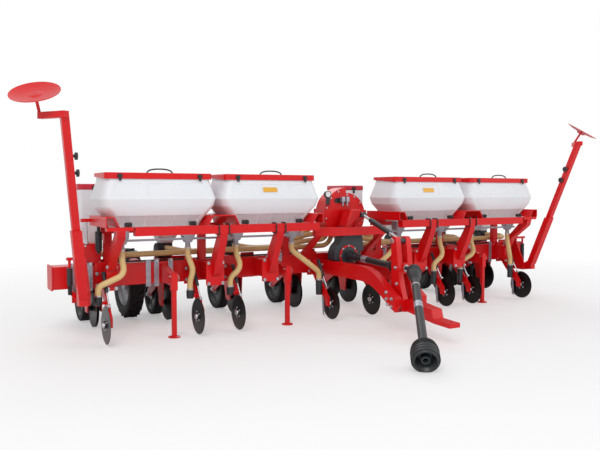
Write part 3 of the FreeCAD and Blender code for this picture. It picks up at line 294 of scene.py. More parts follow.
# goes into edit mode with the faces selected whose centre and normal pass the test
def pickFaces(piece, test):
    activate(piece)
    bpy.ops.object.mode_set(mode="EDIT")
    bpy.ops.mesh.select_mode(type="FACE")
    bpy.ops.mesh.select_all(action="DESELECT")
    mesh = bmesh.from_edit_mesh(piece.data)
    for face in mesh.faces:
        if test(face.calc_center_median(), face.normal):
            face.select_set(True)
    bmesh.update_edit_mesh(piece.data)


def pickEdges(piece, test):
    pickFaces(piece, lambda centre, normal: False)
    bpy.ops.mesh.select_mode(type="EDGE")
    mesh = bmesh.from_edit_mesh(piece.data)
    for edge in mesh.edges:
        if test(*[corner.co for corner in edge.verts]):
            edge.select_set(True)
    bmesh.update_edit_mesh(piece.data)


# presses the picked faces in or out, one thickness and depth after the other
def pressed(piece, test, *steps, each=False):
    pickFaces(piece, test)
    for thickness, depth in steps:
        bpy.ops.mesh.inset(thickness=thickness, depth=depth, use_individual=each)
    return piece


def onTop(centre, normal):
    return normal.z > 0.9


def inFront(centre, normal):
    return normal.y < -0.9


def shaped(piece, kind, **settings):
    activate(piece)
    modifier = piece.modifiers.new(kind.lower(), kind)
    for name, value in settings.items():
        setattr(modifier, name, value)
    bpy.ops.object.modifier_apply(modifier=modifier.name)


# rounds the hard edges a little and smooths the rest
def softened(piece, width, segments=2, angle=35):
    if width:
        shaped(piece, "BEVEL", width=width, segments=segments, limit_method="ANGLE",
               angle_limit=math.radians(angle), harden_normals=False)
    activate(piece)
    bpy.ops.object.shade_smooth_by_angle(angle=math.radians(angle))
    shaped(piece, "WEIGHTED_NORMAL", keep_sharp=True)
    return piece


def makeBlock(name, place, size, rounding, segments=2):
    return softened(startPiece(name, "cube", place, size), rounding, segments)


def makeRod(name, place, radius, depth, rounding, segments=2, sides=24, turn=origin):
    rod = startPiece(name, "cylinder", place, turn=turn, vertices=sides, radius=radius, depth=depth)
    return softened(rod, rounding, segments)


def makeRing(name, outside, inside, depth, rounding, sides=40):
    ring = startPiece(name, "cylinder", vertices=sides, radius=outside, depth=depth, end_fill_type="NOTHING")
    shaped(ring, "SOLIDIFY", thickness=outside - inside, offset=-1)
    return softened(ring, rounding)


def joined(name, parts):
    clearSelection()
    for part in parts:
        part.select_set(True)
    bpy.context.view_layer.objects.active = parts[0]
    if len(parts) > 1:
        bpy.ops.object.join()
    piece = bpy.context.object
    piece.name = name
    return piece


# the matrix that stands a piece on a point, its own Z along a direction
def standing(place, direction=(0, 0, 1), roll=0):
    turn = Vector(direction).to_track_quat("Z", "Y").to_matrix().to_4x4()
    return Matrix.Translation(Vector(place)) @ turn @ Matrix.Rotation(math.radians(roll), 4, "Z")


def turned(place, degrees=0, axis="X"):
    return Matrix.Translation(place) @ Matrix.Rotation(math.radians(degrees), 4, axis)


# copies a finished shape to many spots as one piece, each copy with its own mesh
def repeated(name, shape, spots):
    copies = []
    for spot in spots:
        copies.append(twinOf(shape))
        copies[-1].matrix_world = spot
    bpy.data.objects.remove(shape)
    return placeInMesh(joined(name, copies))


def copyAt(shape, name, place):
    twin = twinOf(shape)
    twin.name = name
    return settled(twin, Matrix.Translation(place))


def coated(piece, finish):
    piece.data.materials.clear()
    piece.data.materials.append(finishes[finish])
    return piece


# the last step of each piece: its body, its finish and the CAD nodes that it stands for
def fitted(piece, body, finish=None, replaced=()):
    if finish:
        coated(piece, finish)
    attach(piece, body)
    if replaced:
        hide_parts(*replaced)
    return piece


def fixed(name, parts, finish=None):
    return fitted(joined(name, parts), "root", finish)


def spread(name, shape, spots, finish=None):
    return fitted(repeated(name, shape, spots), "root", finish)


# a round bar or pipe that follows the points
def bent(name, points, radius, sides=12, fineness=8):
    curve = bpy.data.curves.new(name, "CURVE")
    curve.dimensions = "3D"
    curve.bevel_depth = radius
    curve.bevel_resolution = max(1, sides // 4)
    curve.use_fill_caps = True
    spline = curve.splines.new("NURBS")
    spline.points.add(len(points) - 1)
    for point, place in zip(spline.points, points):
        point.co = (*place, 1)
    spline.order_u = 3
    spline.use_endpoint_u = True
    spline.resolution_u = fineness
    piece = bpy.data.objects.new(name, curve)
    bpy.context.scene.collection.objects.link(piece)
    activate(piece)
    bpy.ops.object.convert(target="MESH")
    return softened(piece, 0)


# bolts, all measures in shank radii
bolt = {
    "washer": 1.9, "washerHeight": 0.3, "head": 1.6625, "headHeight": 1.24, "headRounding": 0.12,
    "shank": 0.95, "shankHeight": 2.1, "shankRounding": 0.15,
}


# hexagon head, washer and the end of the thread, for a shank of the given radius
def makeBolts(name, spots, radius):
    size = {key: value * radius for key, value in bolt.items()}
    low, high = size["washerHeight"], size["headHeight"]
    washer = startPiece("washer", "cylinder", (0, 0, low / 2), vertices=20, radius=size["washer"], depth=low)
    head = makeRod("head", (0, 0, low + high / 2), size["head"], high, size["headRounding"], 1, 6)
    shank = makeRod("shank", (0, 0, radius), size["shank"], size["shankHeight"], size["shankRounding"], 1, 12)
    return coated(repeated(name, joined("bolt", [washer, head, shank]), spots), "zincPlate")


def bolted(name, spots, radius):
    return fitted(makeBolts(name, spots, radius), "root")


# spots on both flanks of what stands at each centre; a place is a line and a level
def onFlanks(face, places, roll=0, step=0, centres=(0,)):
    return [standing((x + side * face, beamFace + y, z), (side, 0, 0), roll + step * k) for x in centres
            for side in (-1, 1) for k, (y, z) in enumerate(places)]


# places spaced evenly round a circle
def onCircle(radius, count):
    turns = [math.tau * n / count for n in range(count)]
    return [(radius * math.cos(turn), radius * math.sin(turn)) for turn in turns]


# width of the rounded edges of each steel or plastic piece
softEdges = {
    "main_beam": 0.006, "beam_plates": 0.0015, "beam_straps": 0.0015, "hopper_stand": 0.003,
    "jack_sleeves": 0.002, "opener_arms": 0.002, "unit_linkages": 0.0015, "wheel_legs": 0.004,
    "marker_bases": 0.003, "drawbar": 0.006, "fan_tower": 0.003, "fan_housing": 0.008, "belt_guard": 0.006,
    "drive_shafts": 0.003, "seed_meters": 0.004, "fertiliser_meters": 0.004, "seed_hoppers": 0.003,
    "seed_lids": 0.009, "top_link": 0.002,
    "marker_arm_left": 0.004, "marker_arm_right": 0.004, "jack_leg_1": 0.003, "jack_leg_2": 0.003,
    "jack_leg_3": 0.003, "jack_leg_4": 0.003, "marker_cylinder_left": 0.001, "marker_cylinder_right": 0.001,
}
bodyOfNode = {}
for body, members in frame["record"]["behaviour"]["bodies"].items():
    bodyOfNode.update({node: body for node in members})


# the CAD piece once more with its welded or rolled edges rounded, so that they catch the light
def softCopy(node, width):
    piece = twinOf(nodes[node])
    piece.parent = None
    piece.matrix_world = Matrix.Identity(4)
    piece.name = node + "_finished"
    activate(piece)
    bpy.ops.object.mode_set(mode="EDIT")
    bpy.ops.mesh.select_all(action="SELECT")
    bpy.ops.mesh.remove_doubles(threshold=0.00002)
    bpy.ops.mesh.dissolve_limited(angle_limit=math.radians(0.5))
    softened(piece, width, 2, 40)
    return fitted(piece, bodyOfNode[node], nodes[node].data.materials[0].name, (node,))


finished = {node: softCopy(node, width) for node, width in softEdges.items()}
print("edges rounded")

# wheels; the steps go from the shoulder of the tyre inwards, each a width and a depth
driveWheel = {
    "radius": 0.365, "width": 0.146, "shoulder": 0.022, "lugHeight": 0.016, "lugs": 22,
    "lugSlant": 32, "lugWidth": 0.024, "rimRadius": 0.232,
    "steps": ((0.045, 0.002), (0.03, -0.004), (0.016, -0.012), (0.008, 0.004), (0.012, -0.036),
              (0.09, -0.004), (0.03, 0.02), (0.02, 0.002), (0.004, 0.012)),
}
unitWheel = {
    "radius": 0.22, "width": 0.106, "shoulder": 0.014, "lugHeight": 0, "lugs": 0,
    "rimRadius": 0.158,
    "steps": ((0.03, 0.001), (0.016, -0.004), (0.006, -0.01), (0.006, 0.003), (0.012, -0.022),
              (0.062, 0.006), (0.012, 0.01), (0.006, 0.008)),
}


# a tyre on its rim, with its axle along X: a cylinder whose two ends are stepped inwards
def makeWheel(name, size, rimFinish):
    outside = size["radius"] - size["lugHeight"]
    wheel = startPiece(name, "cylinder", turn=alongX, vertices=72, radius=outside, depth=size["width"])
    shaped(wheel, "BEVEL", width=size["shoulder"], segments=4, limit_method="ANGLE")
    pressed(wheel, lambda centre, normal: abs(normal.x) > 0.99, *size["steps"], each=True)
    softened(wheel, 0)
    coated(wheel, "tyreRubber").data.materials.append(finishes[rimFinish])
    for face in wheel.data.polygons:
        face.material_index = int(math.hypot(face.center.y, face.center.z) < size["rimRadius"])
    parts = [wheel]
    for side in (-1, 1) if size["lugs"] else ():
        reach = size["width"] * 0.46
        lug = makeBlock("lug", origin, (reach, size["lugWidth"], size["lugHeight"] * 1.8), 0.003, 1)
        coated(lug, "tyreRubber")
        height = outside + size["lugHeight"] * 0.1
        foot = turned((side * reach * 0.47, 0, height), side * size["lugSlant"], "Z")
        spots = [Matrix.Rotation(math.tau * (n + 0.25 * side) / size["lugs"], 4, "X") @ foot
                 for n in range(size["lugs"])]
        parts.append(repeated("lugs", lug, spots))
    return joined(name, parts)


def middle(node):
    low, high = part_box(node)
    return [(a + b) / 2 for a, b in zip(low, high)]


# a copy of the shape in the middle of each node, on the node's own body
def copyToNodes(shape, name, labels, nodeName, replacing):
    for label in labels:
        node = nodeName % label
        fitted(copyAt(shape, name % label, middle(node)), node, None, (node,) if replacing else ())
    bpy.data.objects.remove(shape)


rows = range(1, 9)
wheel = makeWheel("driveWheel", driveWheel, "silverRim")
copyToNodes(wheel, "drive_tyre_%s", ("left", "right"), "drive_wheel_%s", True)
copyToNodes(makeWheel("unitWheel", unitWheel, "blackEnamel"), "depth_tyre_%d", rows, "unit_wheel_%d", True)
print("wheels made")

discHub = {"radius": 0.034, "proud": 0.018, "dome": 0.016, "boltCircle": 0.047, "bolt": 0.005, "bolts": 5}


# a pressed dust cap on each side of the hub, and the bolts that hold the blade
def makeHub(size):
    parts = []
    for side in (-1, 1):
        proud = side * size["proud"]
        cap = startPiece("cap", "uv_sphere", segments=24, ring_count=12, radius=size["radius"] * 0.8)
        pickFaces(cap, lambda centre, normal: centre.z < 0)
        bpy.ops.mesh.delete(type="FACE")
        bpy.ops.object.mode_set(mode="OBJECT")
        flat = Matrix.Diagonal((1, 1, size["dome"] / size["radius"] * 1.25, 1))
        settled(cap, turned((proud, 0, 0), 90 * side, "Y") @ flat)
        pickEdges(cap, lambda a, b: max(abs(a.x - proud), abs(b.x - proud)) < 0.001)
        bpy.ops.mesh.edge_face_add()
        parts.append(coated(softened(cap, 0), "zincPlate"))
        spots = [standing((side * 0.005, y, z), (side, 0, 0))
                 for y, z in onCircle(size["boltCircle"], size["bolts"])]
        parts.append(makeBolts("hubBolts", spots, size["bolt"]))
    return joined("hub", parts)


markerDisc = {
    "radius": 0.19, "edge": 0.004, "rim": 0.028, "hub": (3.144, -0.695, 2.048),
    "axis": (0.26, -0.46, 0.85),
    "top": ((0.057, -0.016), (0.073, -0.006), (0.01, 0.001), (0.014, 0.007)),
    "under": ((0.057, 0.017), (0.073, 0.006), (0.024, 0.019)),
}


# the dished disc on each marker arm, stepped in from the rim on both faces
def makeMarkerDisc(size):
    disc = startPiece("markerDisc", "cylinder", (0, 0, size["rim"]), vertices=96, radius=size["radius"],
                      depth=size["edge"])
    for way, steps in ((1, size["top"]), (-1, size["under"])):
        pressed(disc, lambda centre, normal: normal.z * way > 0.99, *steps)
    return softened(disc, 0)


def setMarkerDiscs(size):
    disc = makeMarkerDisc(size)
    x, y, z = size["hub"]
    across, along, up = size["axis"]
    for side, label in ((-1, "left"), (1, "right")):
        spot = standing((side * x, beamFace + y, z), (side * across, along, up))
        twin = repeated("marker_dish_" + label, copyAt(disc, "dish", origin), [spot])
        fitted(twin, "marker_disc_" + label, "redEnamel", ("marker_disc_" + label,))
    bpy.data.objects.remove(disc)


setMarkerDiscs(markerDisc)
copyToNodes(makeHub(discHub), "disc_hub_%d", rows, "fertiliser_disc_%d", False)
print("discs and hubs made")

# fertiliser hoppers; a level is a height with the width and depth there, and a row of panels has its lower
# and upper height, half its width, how many panels, how deep they are pressed and the margin between them
hopper = {
    "places": (-2.081, -0.983, 0.983, 2.081), "back": -0.208, "wall": 0.005, "corner": 0.045,
    "rounding": 0.004,
    "levels": ((1.0, 0.38, 0.115), (1.12, 0.44, 0.208), (1.191, 0.502, 0.234), (1.262, 0.526, 0.248),
               (1.427, 0.476, 0.198), (1.484, 0.474, 0.196)),
    "panels": ((1.01, 1.11, 0.38, 6, 0.006, 0.009), (1.3, 1.4, 0.46, 3, 0.0045, 0.03)),
}
hopperLine = beamFace + hopper["back"]


# cuts the long walls between two levels into equal panels and presses each one in
def panelWalls(shell, low, high, width, count, recess, margin):
    def onWall(centre, normal):
        return low < centre.z < high and abs(normal.y) > 0.7 and abs(centre.x) < width * 0.86
    for n in range(1, count):
        pickFaces(shell, onWall)
        bpy.ops.mesh.bisect(plane_co=(width * (2 * n / count - 1), 0, 0), plane_no=(1, 0, 0))
    pressed(shell, onWall, (margin, 0), (0.004, -recess), each=True)


def makeHopper():
    levels = hopper["levels"]
    shell = startPiece("hopperShell", "plane", (0, 0, levels[0][0]), (levels[0][1], levels[0][2], 1))
    pickFaces(shell, lambda centre, normal: True)
    bpy.ops.mesh.bevel(offset=hopper["corner"], segments=5, affect="VERTICES")
    for (low, wide, deep), (high, nextWide, nextDeep) in zip(levels, levels[1:]):
        bpy.ops.mesh.extrude_region_move(TRANSFORM_OT_translate={"value": (0, 0, high - low)})
        bpy.ops.transform.resize(value=(nextWide / wide, nextDeep / deep, 1), center_override=(0, 0, high))
    bpy.ops.mesh.delete(type="ONLY_FACE")
    bpy.ops.mesh.select_all(action="SELECT")
    bpy.ops.mesh.normals_make_consistent(inside=False)
    for row in hopper["panels"]:
        panelWalls(shell, *row)
    shaped(shell, "BEVEL", width=hopper["rounding"], segments=3, limit_method="ANGLE",
           angle_limit=math.radians(14))
    shaped(shell, "SOLIDIFY", thickness=hopper["wall"], offset=-1)
    return softened(shell, 0)


shells = repeated("hopper_shells", makeHopper(), [turned((x, hopperLine, 0)) for x in hopper["places"]])
fitted(shells, "root", "whitePolyethylene", ("fertiliser_hoppers",))

# blank adhesive plates on the two inner hoppers, on the slope of the upper wall
plate = {"size": (0.15, 0.0016, 0.046), "level": 1.345, "ahead": 0.2225, "across": -0.03, "slope": 16.9}
plateSpots = [turned((x + plate["across"], hopperLine - plate["ahead"], plate["level"]), -plate["slope"])
              for x in hopper["places"][1:3]]
spread("blank_plates", makeBlock("blank", origin, plate["size"], 0.0006), plateSpots, "yellowVinyl")
print("hoppers made")

lid = {
    "length": 0.972, "depth": 0.416, "under": 1.435, "height": 0.054, "corner": 0.044, "sheet": 0.003,
    "recess": ((0.022, 0), (0.009, -0.004)), "taperFrom": 0.06, "taper": 0.025, "edge": 0.005,
    "handleHalf": 0.115, "handleHeight": 0.034, "handleRadius": 0.0068, "handleBack": 0.034,
    "hingeAt": 0.3, "barrelRadius": 0.0058,
    "latchAt": 0.36, "latch": ((0.042, 0.012, 0.034), (0.022, 0.008, 0.04), 0.006, 0.022),
}


# a pressed steel lid, open below, whose rim is deeper at the front
def makeLidSheet():
    low, front = lid["under"], beamFace - lid["depth"]
    sheet = startPiece("lidSheet", "cube", (0, beamFace - lid["depth"] / 2, low + lid["height"] / 2),
                       (lid["length"], lid["depth"], lid["height"]))
    pickEdges(sheet, lambda a, b: abs(a.z - b.z) > 0.01)
    bpy.ops.mesh.bevel(offset=lid["corner"], segments=6)
    pressed(sheet, onTop, *lid["recess"])
    bpy.ops.mesh.select_all(action="SELECT")
    rise = math.atan2(lid["taper"], lid["depth"] - lid["taperFrom"])
    bpy.ops.mesh.bisect(plane_co=(0, front + lid["taperFrom"], low + 0.0005), clear_inner=True,
                        plane_no=(0, -math.sin(rise), math.cos(rise)))
    pickFaces(sheet, lambda centre, normal: normal.z < -0.9)
    bpy.ops.mesh.delete(type="FACE")
    shaped(sheet, "BEVEL", width=lid["edge"], segments=3, limit_method="ANGLE", angle_limit=math.radians(30))
    shaped(sheet, "SOLIDIFY", thickness=lid["sheet"], offset=-1)
    return softened(sheet, 0)


# a latch plate with a pressed face, and the tongue that hangs before it
def makeLatch(place, plateSize, tongueSize, ahead, drop):
    x, y, z = place
    plate = pressed(startPiece("latchPlate", "cube", place, plateSize), inFront, (0.006, -0.003))
    softened(plate, 0.002)
    return joined("latch", [plate, makeBlock("tongue", (x, y - ahead, z - drop), tongueSize, 0.002)])


def makeLidFittings():
    low, front, half = lid["under"], beamFace - lid["depth"], lid["handleHalf"]
    top, line = low + lid["height"], front + lid["handleBack"]
    arch = [(side * half, line, top + rise) for side, rise in
            ((-1, -0.006), (-1, lid["handleHeight"]), (1, lid["handleHeight"]), (1, -0.006))]
    parts = [bent("handle", arch, lid["handleRadius"], 16)]
    for side in (-1, 1):
        parts.append(makeRod("handleFoot", (side * half, line, top - 0.002), 0.014, 0.006, 0.0015))
        parts.append(makeLatch((side * lid["latchAt"], front - 0.004, low + 0.026), *lid["latch"]))
    return joined("lidFittings", parts)


def makeLidHinge():
    level = lid["under"] + lid["height"] / 2 + 0.003
    spots = [(side * lid["hingeAt"], beamFace + 0.01, level) for side in (-1, 1)]
    radius = lid["barrelRadius"]
    barrels = [makeRod("barrel", spot, radius, 0.07, 0.001, sides=20, turn=alongX) for spot in spots]
    return joined("knuckles", barrels)


def setLids():
    sheet, fittings, knuckles = makeLidSheet(), makeLidFittings(), makeLidHinge()
    for number, x in enumerate(hopper["places"], 1):
        body = "hopper_lid_%d" % number
        fitted(copyAt(sheet, "lid_sheet_%d" % number, (x, 0, 0)), body, "redEnamel", (body,))
        fitted(copyAt(fittings, "lid_handle_%d" % number, (x, 0, 0)), body, "blackEnamel")
        fitted(copyAt(knuckles, "lid_hinge_%d" % number, (x, 0, 0)), body, "zincPlate")
    for shape in (sheet, fittings, knuckles):
        bpy.data.objects.remove(shape)


setLids()
print("lids made")

# bolts and clamps of the frame; a plate row has its places, half the bolt spacing, the levels, how far its
# face stands before the beam, and how far the second bolt is turned
rowLine = {"first": -2.455, "spacing": 0.75, "count": 8}
rowPlaces = [rowLine["first"] + n * rowLine["spacing"] for n in range(rowLine["count"])]
frameBolts = {
    "plates": (((2.511, 1.67, 1.263, 0.296), 0.038, (0.486, 0.592), 0.021, 17),
               ((0.95, 1.532), 0.0702, (0.472, 0.664), 0.321, 11),
               ((2.46,), 0.0351, (0.472, 0.664), 0.191, 0)),
    "straps": (2.608, 2.761, 1.859, 1.997, 0.681, 0.819), "strapLevels": (0.454, 0.682), "strapFace": 0.02,
    "heads": (-0.045, 0.045), "headLevels": (0.45, 0.686), "headFace": 0.212,
    "large": 0.0085, "small": 0.007,
}


def setFrameBolts():
    size, forward, backward = frameBolts, (0, -1, 0), (0, 1, 0)
    large, small = [], []
    for side in (-1, 1):
        for places, half, levels, face, roll in size["plates"]:
            large += [standing((side * x + step, beamFace - face, z), forward, roll * k) for x in places
                      for k, step in enumerate((-half, half)) for z in levels]
        small += [standing((side * x, beamFace - size["strapFace"], z), forward, 23) for x in size["straps"]
                  for z in size["strapLevels"]]
    small += [standing((x + across, beamFace + size["headFace"], z), backward, 9) for x in rowPlaces
              for across in size["heads"] for z in size["headLevels"]]
    bolted("frame_bolts", large, size["large"])
    bolted("strap_nuts", small, size["small"])


railClamps = {
    "places": (0.9, 1.0, 1.482, 1.582), "front": 0.524, "size": 0.077, "under": 0.948,
    "rod": 0.0065,
}


def setRailClamps():
    size = railClamps
    front, back = beamFace - size["front"] - size["rod"], beamFace - size["front"] + size["size"]
    top, under = size["under"] + size["size"] + size["rod"], size["under"] - size["rod"]
    half, level = (front + back) / 2, (top + under) / 2
    path = ((back, top), (half, top), (front, top), (front, level), (front, under), (half, under),
            (back, under))
    clamps = [bent("clamp", [(side * x, y, z) for y, z in path], size["rod"], 12)
              for side in (-1, 1) for x in size["places"]]
    fixed("rail_clamps", clamps, "blackEnamel")


setFrameBolts()
setRailClamps()
print("bolts and clamps set")

hoseBands = {
    "radius": 0.0275, "band": 0.012, "thick": 0.0018, "meters": (2.386, 1.776, 1.288, 0.678),
    "meterLine": 0.244, "meterLevel": 0.812, "bootLine": 0.224, "bootTop": 0.412, "lowBoot": 0.264,
    "boots": (-2.59, -1.749, -1.342, -0.3383, 2.4687, 1.6277, 1.2207, 0.3383), "highBoot": 0.337,
    "collars": (0.02, 0.045), "collarRadius": 0.0365, "bootRadii": (0.0325, 0.0345),
    "fanOutlets": (0.1285, 0.1855, 0.2425, 0.2995, 0.0715, 0.0145, -0.0425, -0.0995),
    "fanLine": 0.179, "fanLevel": 1.006,
}


# a worm drive band round a hose, with its screw housing
def makeBand(size):
    ring = startPiece("ring", "cylinder", vertices=32, radius=size["radius"] + size["thick"],
                      depth=size["band"], end_fill_type="NOTHING")
    shaped(ring, "SOLIDIFY", thickness=size["thick"], offset=-1)
    softened(ring, 0.0004, 1)
    face = -size["radius"]
    housing = makeBlock("housing", (0, face - 0.005, 0), (0.022, 0.009, size["band"] * 0.9), 0.0015)
    screw = makeRod("screw", (0.013, face - 0.006, 0), 0.0045, 0.01, 0.0004, 1, 6, alongX)
    return coated(joined("hoseBand", [ring, housing, screw]), "zincPlate")


# the moulded socket on an opener, where the hose ends
def makeBoot(x):
    size = hoseBands
    line, top = beamFace - size["bootLine"], size["bootTop"]
    foot = size["highBoot"] if x < -1 else size["lowBoot"]
    narrow, wide = size["bootRadii"]
    boot = startPiece("boot", "cone", (x, line, (foot + top) / 2), vertices=32, radius1=narrow, radius2=wide,
                      depth=top - foot, end_fill_type="NGON")
    pressed(boot, onTop, (0.004, 0))
    softened(boot, 0.0025)
    return [makeRod("collar", (x, line, top - level), size["collarRadius"], 0.007, 0.002, sides=32)
            for level in size["collars"]] + [boot]


def setHoseFittings():
    size = hoseBands
    spots = [turned((side * x, beamFace - size["meterLine"], size["meterLevel"])) for side in (-1, 1)
             for x in size["meters"]]
    spots += [turned((x, beamFace - size["bootLine"], size["bootTop"] + 0.01)) for x in size["boots"]]
    spots += [turned((x, beamFace + size["fanLine"], size["fanLevel"])) for x in size["fanOutlets"]]
    spread("hose_bands", makeBand(size), spots)
    boots = [part for x in size["boots"] for part in makeBoot(x)]
    fixed("hose_boots", boots, "darkPolypropylene")


setHoseFittings()
print("hose fittings made")

# drawbar, mast and shafts; all lines are counted from the beam's face
towing = {
    "face": 0.19, "plateBolts": ((-0.05, 0.49), (-0.05, 0.55), (-1.165, 0.395), (-1.245, 0.345),
                                  (-1.17, 0.335), (-1.24, 0.272), (-1.185, 0.285)),
    "postFace": 0.088, "postBolts": ((-1.13, 0.86), (-1.17, 0.62), (-1.19, 0.47)), "bolt": 0.009,
    "pin": (-1.126, 0.873), "pinRadius": 0.0125, "pinLength": 0.2, "bearing": (-1.218, 0.614),
    "clip": ((0, 0.02), (0.02, 0.03), (0.034, 0), (0.02, -0.034), (0, -0.02)),
}
shafts = {
    "rear": ((0, -0.2785, 0.655), (0, -1.09, 0.614)),
    "front": ((0, -1.325, 0.614), (-0.77, -2.39, 0.087)),
    "rearRibs": ((0.02, 0.052), (0.045, 0.064), (0.07, 0.06), (0.76, 0.064), (0.785, 0.068)),
    "frontRibs": ((0.02, 0.064), (0.05, 0.069), (0.085, 0.066), (1.245, 0.098), (1.275, 0.106),
                  (1.305, 0.1095), (1.335, 0.1095), (1.365, 0.1095), (1.395, 0.109)),
    "bands": (("rear", 0.25, 0.08, 0.0345), ("front", 0.3, 0.018, 0.0385),
              ("front", 0.6, 0.085, 0.0372)), "mouthDepth": 0.11,
    "link": ((0, -1.126, 0.873), (0, -0.478, 1.108)), "linkTube": (0.024, 0.64, 0.0145),
}


# the point that lies so far from the foot of a shaft, or past its tip, and the way that the shaft runs
def onShaft(name, reach, fromTip=False):
    foot, tip = [Vector((x, beamFace + y, z)) for x, y, z in shafts[name]]
    way = (tip - foot).normalized()
    return (tip if fromTip else foot) + way * reach, way


def setTowing():
    size = towing
    spots = onFlanks(size["face"], size["plateBolts"], 0, 13)
    spots += onFlanks(size["postFace"], size["postBolts"], 21)
    bolted("drawbar_bolts", spots, size["bolt"])
    line, level = beamFace + size["pin"][0], size["pin"][1]
    parts = [makeRod("pin", (0, line, level), size["pinRadius"], size["pinLength"], 0.003, turn=alongX),
             makeRod("pinHead", (-0.104, line, level), 0.021, 0.012, 0.002, turn=alongX),
             bent("clip", [(0.094, line + y, level + z) for y, z in size["clip"]], 0.0025, 8),
             settled(makeRing("bearingRing", 0.032, 0.0185, 0.008, 0.0015),
                     turned((0, beamFace + size["bearing"][0], size["bearing"][1]), 90))]
    fixed("mast_fittings", parts, "zincPlate")


def setShafts():
    ribs, tubes = [], []
    for name in ("rear", "front"):
        for reach, radius in shafts[name + "Ribs"]:
            rib = makeRing("rib", radius, radius - 0.012, 0.009, 0.003, 48)
            ribs.append(settled(rib, standing(*onShaft(name, reach))))
    fixed("guard_ribs", ribs, "blackGuard")
    for name, reach, length, radius in shafts["bands"]:
        tube = makeRod("tube", origin, radius, length, 0.001, 1, 40)
        tubes.append(settled(tube, standing(*onShaft(name, reach + length / 2))))
    fixed("shaft_bands", tubes, "galvanisedSteel")


# opens the mouth of the bell that goes over the tractor's shaft, with the yoke inside it
def openBell():
    mouth, way = onShaft("front", 0, True)
    pressed(finished["drive_shafts"],
            lambda centre, normal: (centre - mouth).length < 0.02 and normal.dot(way) > 0.9, (0.009, 0))
    bpy.ops.mesh.extrude_region_move(TRANSFORM_OT_translate={"value": way * -shafts["mouthDepth"]})
    yoke = startPiece("yoke", "cylinder", vertices=32, radius=0.034, depth=0.075)
    pressed(yoke, onTop, (0.012, 0), (0.001, -0.05))
    softened(yoke, 0.002)
    collar = makeRod("collar", (0, 0, -0.03), 0.052, 0.018, 0.003, sides=40)
    whole = settled(joined("yoke_end", [yoke, collar]), standing(mouth - way * 0.055, way))
    fitted(whole, "root", "greyPowderCoat")


# the threaded ends of the top link are bright and its tube is black
def brightenLink():
    link = finished["top_link"]
    link.data.materials.append(finishes["zincPlate"])
    foot, way = onShaft("link", 0)
    first, last, radius = shafts["linkTube"]
    for face in link.data.polygons:
        offset = Vector(face.center) - foot
        reach = offset.dot(way)
        face.material_index = int((offset - way * reach).length < radius and first < reach < last)


setTowing()
setShafts()
openBell()
brightenLink()
print("drawbar and shafts fitted")

fan = {
    "side": 0.1, "height": 1.08, "radius": 0.235, "growth": 0.24, "front": -0.07, "back": 0.11,
    "rimBolts": 14, "flange": 0.112, "flangeHole": 0.094, "flangeLine": -0.268, "flangeBolts": 8,
    "boltCircle": 0.103, "input": 0.655, "gauge": (-0.175, -0.15, 1.3), "gaugeRadius": 0.036,
}


def setFan():
    size, spots, forward = fan, [], (0, -1, 0)
    for n in range(size["rimBolts"]):
        turn = math.tau * (n + 0.35) / size["rimBolts"]
        around = ((90 - math.degrees(turn)) % 360) / 360
        reach = size["radius"] * (1 + size["growth"] * around) - 0.02
        x, z = size["side"] + reach * math.cos(turn), size["height"] + reach * math.sin(turn)
        spots.append(standing((x, beamFace + size["front"], z), forward))
        spots.append(standing((x, beamFace + size["back"], z), (0, 1, 0)))
    bolted("fan_bolts", spots, 0.0055)
    flange = settled(makeRing("drive_flange", size["flange"], size["flangeHole"], 0.012, 0.002, 64),
                     turned((0, beamFace + size["flangeLine"], size["input"]), 90))
    fitted(flange, "root", "redEnamel")
    ring = [standing((x, beamFace + size["flangeLine"] - 0.006, size["input"] + z), forward)
            for x, z in onCircle(size["boltCircle"], size["flangeBolts"])]
    bolted("flange_bolts", ring, 0.005)


# a round gauge with a blank dial, on its bracket beside the fan
def setGauge():
    (x, y, z), radius = fan["gauge"], fan["gaugeRadius"]
    y += beamFace
    case = startPiece("gaugeCase", "cylinder", (x, y + 0.022, z), turn=alongY, vertices=40, radius=radius,
                      depth=0.04)
    pressed(case, inFront, (0.004, 0), (0.0005, -0.004))
    softened(case, 0.0012)
    bracket = makeBlock("gaugeBracket", (x + 0.02, y + 0.045, z - 0.045), (0.05, 0.004, 0.13), 0.001, 1)
    shelf = makeBlock("gaugeShelf", (x + 0.02, y + 0.058, z - 0.108), (0.05, 0.03, 0.004), 0.001, 1)
    fixed("gauge_case", [case, bracket, shelf], "blackEnamel")
    dial = makeRod("gauge_dial", (x, y + 0.006, z), radius - 0.006, 0.002, 0.0004, 1, 40, alongY)
    fitted(dial, "root", "whitePolyethylene")


guardPaint = {
    "level": 0.962, "valve": (0.06, -0.104, 1.245),
    "slots": ((0.045, -0.073, 1.232, 0.19, 0.052), (0.095, -0.265, 1.075, 0.08, 0.034)),
}


# the upper part of the drive guard is red, with black plates in its two slots that paint the shade inside the
# openings; the lower part is grey
def paintGuard():
    guard, level = finished["belt_guard"], guardPaint["level"]
    guard.data.materials.append(finishes["redEnamel"])
    pickFaces(guard, lambda centre, normal: True)
    bpy.ops.mesh.bisect(plane_co=(0, 0, level), plane_no=(0, 0, 1))
    bpy.ops.object.mode_set(mode="OBJECT")
    for face in guard.data.polygons:
        face.material_index = int(face.center.z > level)
    slots = []
    # each slot is a shallow black plate: painted shade where the guard has an opening
    for x, y, z, wide, high in guardPaint["slots"]:
        slot = startPiece("slot", "cube", (x, beamFace + y, z), (wide, 0.006, high))
        pickEdges(slot, lambda a, b: abs(a.y - b.y) > 0.003)
        bpy.ops.mesh.bevel(offset=high * 0.45, segments=5)
        pressed(slot, inFront, (0.006, 0), (0.001, -0.004))
        slots.append(softened(slot, 0.0008, 1))
    fixed("guard_slot_shade", slots, "blackEnamel")


